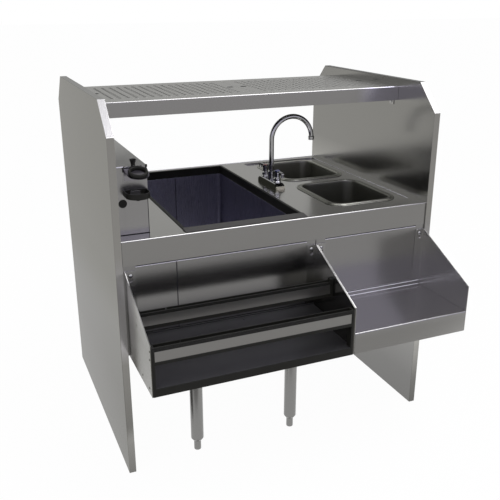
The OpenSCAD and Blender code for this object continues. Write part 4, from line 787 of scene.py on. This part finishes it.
def bowl(node):
    lo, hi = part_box(node)
    seat = deck_z - RECESS_DEPTH
    floor_z = lo.z + BOWL_SHEET
    wall_in, wall_z, wall_r = THROAT[-1]
    rows = [(m, seat + z, r) for m, z, r in RIM + THROAT]
    for k in range(1, WALL_STEPS + 1):
        t = k / WALL_STEPS
        rows.append((wall_in + WALL_DRAFT * t, seat + wall_z + (floor_z + FLOOR_CURL - seat - wall_z) * t,
                     wall_r - WALL_TIGHTEN * t))
    for k in range(1, CURL_STEPS + 1):
        a = math.radians(90 * k / CURL_STEPS)
        rows.append((wall_in + WALL_DRAFT + CURL_IN + FLOOR_CURL * (1 - math.cos(a)),
                     floor_z + FLOOR_CURL * (1 - math.sin(a)), CURL_CORNER - CURL_TIGHTEN * k / CURL_STEPS))

    def ring(inset, z, r):
        return rounded(lo.x + inset, lo.y + inset, hi.x - inset, hi.y - inset, r, z)

    inside = [ring(*row) for row in rows]
    cx, cy = (lo.x + hi.x) / 2, (lo.y + hi.y) / 2

    def drained(radius, z):
        out = []
        for px, py, _ in inside[-1]:
            a = math.atan2(py - cy, px - cx)
            out.append((cx + radius * math.cos(a), cy + radius * math.sin(a), z))
        return out

    drains = [drained(radius, floor_z - drop) for radius, drop in DRAIN_RINGS]
    under = [ring(m - UNDER_OUT, z - UNDER_DROP, r + UNDER_CORNER) for m, z, r in rows[len(RIM + THROAT):]]
    under += [[(x, y, z - BOWL_SHEET) for x, y, z in points] for points in drains]
    lip = [ring(m, seat + z, r) for m, z, r in LIP]
    steel = STEEL["rear bowl" if "rear" in node else "bowl"]
    piece = loft(node + "_drawn", inside + drains + under[::-1] + lip, steel)
    return hand_over(smooth(piece, 40), node)


for node in ("sink_bowl_front", "sink_bowl_rear"):
    piece = bowl(node)
    print(node, len(piece.data.polygons), "faces")

# %% [markdown]
# ## Perforated shelf inserts
# Each insert is a tray punched with a square grid of holes. A punch leaves a tiny rolled
# lip round its hole. The lips are painted far darker than the plate, a painted shade for the
# dark of the holes, and are what shows when the shelf is seen edge on. The plate itself is
# the CAD sheet. A node tree sets one low-polygon ring on each grid point.

# %% Rings on a grid
LIPS = Tree("lips on a grid", {
    "Columns": ("NodeSocketInt", 3), "Rows": ("NodeSocketInt", 3), "Pitch": ("NodeSocketFloat", 0.0254),
    "Hole radius": ("NodeSocketFloat", 0.0048), "Lip radius": ("NodeSocketFloat", 0.0004),
    "Centre": ("NodeSocketVector", (0, 0, 0)), "Finish": ("NodeSocketMaterial", None)})


def lips_tree(t):
    across = t.node("ShaderNodeMath", {"operation": "SUBTRACT"}, {0: t.given("Columns"), 1: 1.0})
    along = t.node("ShaderNodeMath", {"operation": "SUBTRACT"}, {0: t.given("Rows"), 1: 1.0})
    wide = t.node("ShaderNodeMath", {"operation": "MULTIPLY"}, {0: across.outputs[0], 1: t.given("Pitch")})
    deep = t.node("ShaderNodeMath", {"operation": "MULTIPLY"}, {0: along.outputs[0], 1: t.given("Pitch")})
    grid = t.node("GeometryNodeMeshGrid", None, {
        "Size X": wide.outputs[0], "Size Y": deep.outputs[0],
        "Vertices X": t.given("Columns"), "Vertices Y": t.given("Rows")})
    moved = t.node("GeometryNodeTransform", None, {"Geometry": grid.outputs[0], "Translation": t.given("Centre")})
    circle = t.node("GeometryNodeCurvePrimitiveCircle", None, {"Resolution": 16, "Radius": t.given("Hole radius")})
    profile = t.node("GeometryNodeCurvePrimitiveCircle", None, {"Resolution": 4, "Radius": t.given("Lip radius")})
    ring = t.node("GeometryNodeCurveToMesh", None, {
        "Curve": circle.outputs[0], "Profile Curve": profile.outputs[0]})
    many = t.node("GeometryNodeInstanceOnPoints", None, {"Points": moved.outputs[0], "Instance": ring.outputs[0]})
    t.close(many.outputs[0])


HOLES_ACROSS, HOLES_DEEP, HOLE_PITCH = 17, 11, 0.0254
lips_tree(LIPS)
for node in ("shelf_insert_left", "shelf_insert_right"):
    lo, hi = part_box(node)
    skin(node, STEEL["shelf"], 0.0003, rounds=1)
    seed = new_object(node + "_lips", bpy.data.meshes.new(node + "_lips"))
    lips = LIPS.grow(seed, node + "_lips", Columns=HOLES_ACROSS, Rows=HOLES_DEEP, Pitch=HOLE_PITCH,
                     Hole_radius=0.0047, Lip_radius=0.0005,
                     Centre=((lo.x + hi.x) / 2, (lo.y + hi.y) / 2, hi.z), Finish=STEEL["lip"])
    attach(smooth(lips, 60), BODY_OF[node])
    print(node, len(lips.data.polygons), "faces in the lips")

# %% [markdown]
# ## Rivets and hanging bolts
# A rivet of the rail is a low round head set on a point, facing out of its sheet. One tree
# puts a flattened ball on every point of a small mesh, so all the rivets are one piece. The
# domed bolts have shanks and nuts that the keyholes need, so they keep the CAD shape.

# %% Domes on points
DOMES = Tree("domes on points", {
    "Head radius": ("NodeSocketFloat", 0.004), "Head height": ("NodeSocketFloat", 0.001),
    "Turn": ("NodeSocketVector", (0, 0, 0)), "Finish": ("NodeSocketMaterial", None)})


def domes_tree(t):
    ball = t.node("GeometryNodeMeshUVSphere", None, {"Segments": 16, "Rings": 8, "Radius": 1.0})
    size = t.node("ShaderNodeCombineXYZ", None, {
        "X": t.given("Head radius"), "Y": t.given("Head radius"), "Z": t.given("Head height")})
    flat = t.node("GeometryNodeTransform", None, {"Geometry": ball.outputs[0], "Scale": size.outputs[0]})
    turned = t.node("GeometryNodeTransform", None, {"Geometry": flat.outputs[0], "Rotation": t.given("Turn")})
    many = t.node("GeometryNodeInstanceOnPoints", None, {
        "Points": t.given("Geometry"), "Instance": turned.outputs[0]})
    t.close(many.outputs[0])


domes_tree(DOMES)


def islands(node):
    """The boxes of a node's separate solids, in the same order on every run."""
    bm = welded(node)
    left, found = set(bm.verts), []
    while left:
        group, stack = [], [left.pop()]
        while stack:
            v = stack.pop()
            group.append(v.co.copy())
            for e in v.link_edges:
                w = e.other_vert(v)
                if w in left:
                    left.remove(w)
                    stack.append(w)
        found.append((Vector(map(min, zip(*group))), Vector(map(max, zip(*group)))))
    bm.free()
    return sorted(found, key=lambda box: tuple(box[0]))


def points(name, places):
    mesh = bpy.data.meshes.new(name)
    mesh.from_pydata(places, [], [])
    return new_object(name, mesh)


HEAD_SINK, LEFT_END_X = 0.0009, -0.3
heads = [(lo.x + HEAD_SINK if lo.x < LEFT_END_X else hi.x - HEAD_SINK, (lo.y + hi.y) / 2, (lo.z + hi.z) / 2)
         for lo, hi in islands("rail_rivets")]
rivets = DOMES.grow(points("rivet_points", heads), "rivet_heads", Head_radius=0.0036, Head_height=0.0012,
                    Turn=(0, math.pi / 2, 0), Finish=STEEL["bracket"])
hand_over(smooth(rivets, 60), "rail_rivets")
skin("hanger_bolts", BOLT, 0.0005, rounds=3)
print(len(heads), "rivets")

# %% [markdown]
# ## Stage, light and camera
# The photograph shows the station on plain white under soft light from above and from
# the left. The floor is a plane that takes the soft shadow and looks white to the camera.
# The steel mirrors it, and above the horizon it mirrors a soft grey studio. The camera
# stands where the photograph was taken.

# %% The floor and the sky
VIEW_X, VIEW_Y, VIEW_START = 0.391, 0.920, 2.27
NEAR_LINE, LEFT_SLOPE, LEFT_BLUR = (1.60, 1.67), 0.37, 0.07


def white_floor(front_tone, left_tone, shade):
    """A floor that is white to the camera and keeps the station's shadow.

    Steel mirrors it too. As in the studio, the floor before the station mirrors in
    front_tone and the floor at its left in left_tone, outside the camera's view. shade is
    the floor's own glow in what is seen of it, and the rest takes the lamps and the shadow.
    """
    p = Paint("floor")
    x, y = p.along("X"), p.along("Y")
    ahead = x * VIEW_X + y * VIEW_Y + VIEW_START
    aside = y * VIEW_X - x * VIEW_Y
    beyond = p.ramp(ahead, *NEAR_LINE)
    left = p.ramp(aside - ahead * LEFT_SLOPE, 0.0, LEFT_BLUR)
    speck = p.noise(2.0)
    white = p.blend(left, (1.0, 1.0, 1.0), left_tone)
    white = p.blend(beyond, front_tone, white)
    p.finish(p.blend(speck, (0.86, 0.86, 0.86), (0.9, 0.9, 0.9)), 0.8)
    seen = p.node("ShaderNodeLightPath", output="Is Camera Ray")
    shiny = p.node("ShaderNodeLightPath", output="Is Glossy Ray")
    white = p.blend(seen, white, (1.0, 1.0, 1.0))
    glass = p.node("ShaderNodeLightPath", output="Is Transmission Ray")
    glow = p.node("ShaderNodeEmission", None, {"Color": white, "Strength": 1.0})
    both = p.node("ShaderNodeMixShader", None, {0: (seen + shiny + glass).least(1.0) * shade})
    mixer = both.socket.node
    p.tree.links.new(p.bsdf.outputs[0], mixer.inputs[1])
    p.tree.links.new(glow.socket, mixer.inputs[2])
    p.tree.links.new(mixer.outputs[0], p.tree.nodes["Material Output"].inputs["Surface"])
    return p.mat


FAR = 40
floor_mesh = bpy.data.meshes.new("floor")
floor_mesh.from_pydata([(-FAR, -FAR, 0), (FAR, -FAR, 0), (FAR, FAR, 0), (-FAR, FAR, 0)], [], [(0, 1, 2, 3)])
floor = new_object("floor", floor_mesh)
floor_mesh.materials.append(white_floor((0.40, 0.395, 0.39), (0.68, 0.675, 0.645), 0.975))

world = bpy.data.worlds.new("soft studio")
bpy.context.scene.world = world
world.use_nodes = True
sky = Paint.over(world.node_tree)
where = sky.node("ShaderNodeTexCoord", output="Generated")
rise = sky.node("ShaderNodeSeparateXYZ", None, {0: where}, output="Z")
back = sky.node("ShaderNodeSeparateXYZ", None, {0: where}, output="Y")
height = sky.node("ShaderNodeValToRGB", {"stops": [
    (0.0, (0.50, 0.50, 0.51)), (0.49, (0.62, 0.62, 0.62)), (0.62, (0.75, 0.75, 0.74)), (1.0, (1.0, 1.0, 0.99))]},
    {"Fac": rise * 0.5 + 0.5})
front = sky.node("ShaderNodeValToRGB", {"stops": [
    (0.0, (0.72, 0.69, 0.87)), (0.25, (0.78, 0.76, 0.89)), (0.5, (0.72, 0.72, 0.73)), (1.0, (0.62, 0.62, 0.61))]},
    {"Fac": back * 0.5 + 0.5})
tone = sky.node("ShaderNodeMix", {"data_type": "RGBA", "blend_type": "MULTIPLY"},
                {0: 1.0, 6: height, 7: front}, output=2)
seen = sky.node("ShaderNodeLightPath", output="Is Camera Ray")
tone = sky.node("ShaderNodeMix", {"data_type": "RGBA"}, {0: seen, 6: tone, 7: (1, 1, 1, 1)}, output=2)
background = world.node_tree.nodes["Background"]
sky.feed(background.inputs["Color"], tone)
background.inputs["Strength"].default_value = 1.0
print("stage ready")

# %% The lamps and the camera
def lamp(name, place, target, size, power, colour=(1, 1, 1)):
    data = bpy.data.lights.new(name, "AREA")
    data.shape, data.size, data.size_y = "RECTANGLE", size[0], size[1]
    data.energy, data.color = power, colour
    obj = bpy.data.objects.new(name, data)
    obj.location = place
    obj.rotation_euler = (Vector(target) - Vector(place)).to_track_quat("-Z", "Y").to_euler()
    bpy.context.scene.collection.objects.link(obj)


lamp("key", (-2.6, -1.6, 3.2), (0, 0, 0.7), (2.0, 2.0), 26.0, (1.0, 0.99, 0.97))
lamp("front", (0.8, -0.95, 3.0), (0, -0.2, 1.0), (2.6, 1.3), 42.0, (0.98, 0.98, 1.0))
LOOK_DOWN, LOOK_RIGHT = 19.97, 23.03
cam_data = bpy.data.cameras.new("camera")
cam_data.lens, cam_data.sensor_width = 50.0, 36.0
cam = bpy.data.objects.new("camera", cam_data)
cam.location = (-0.89311, -2.09169, 1.39933)
cam.rotation_euler = (math.radians(90 - LOOK_DOWN), 0, -math.radians(LOOK_RIGHT))
bpy.context.scene.collection.objects.link(cam)
bpy.context.scene.camera = cam
bpy.context.scene.view_settings.view_transform = "Standard"
print("lamps and camera ready")
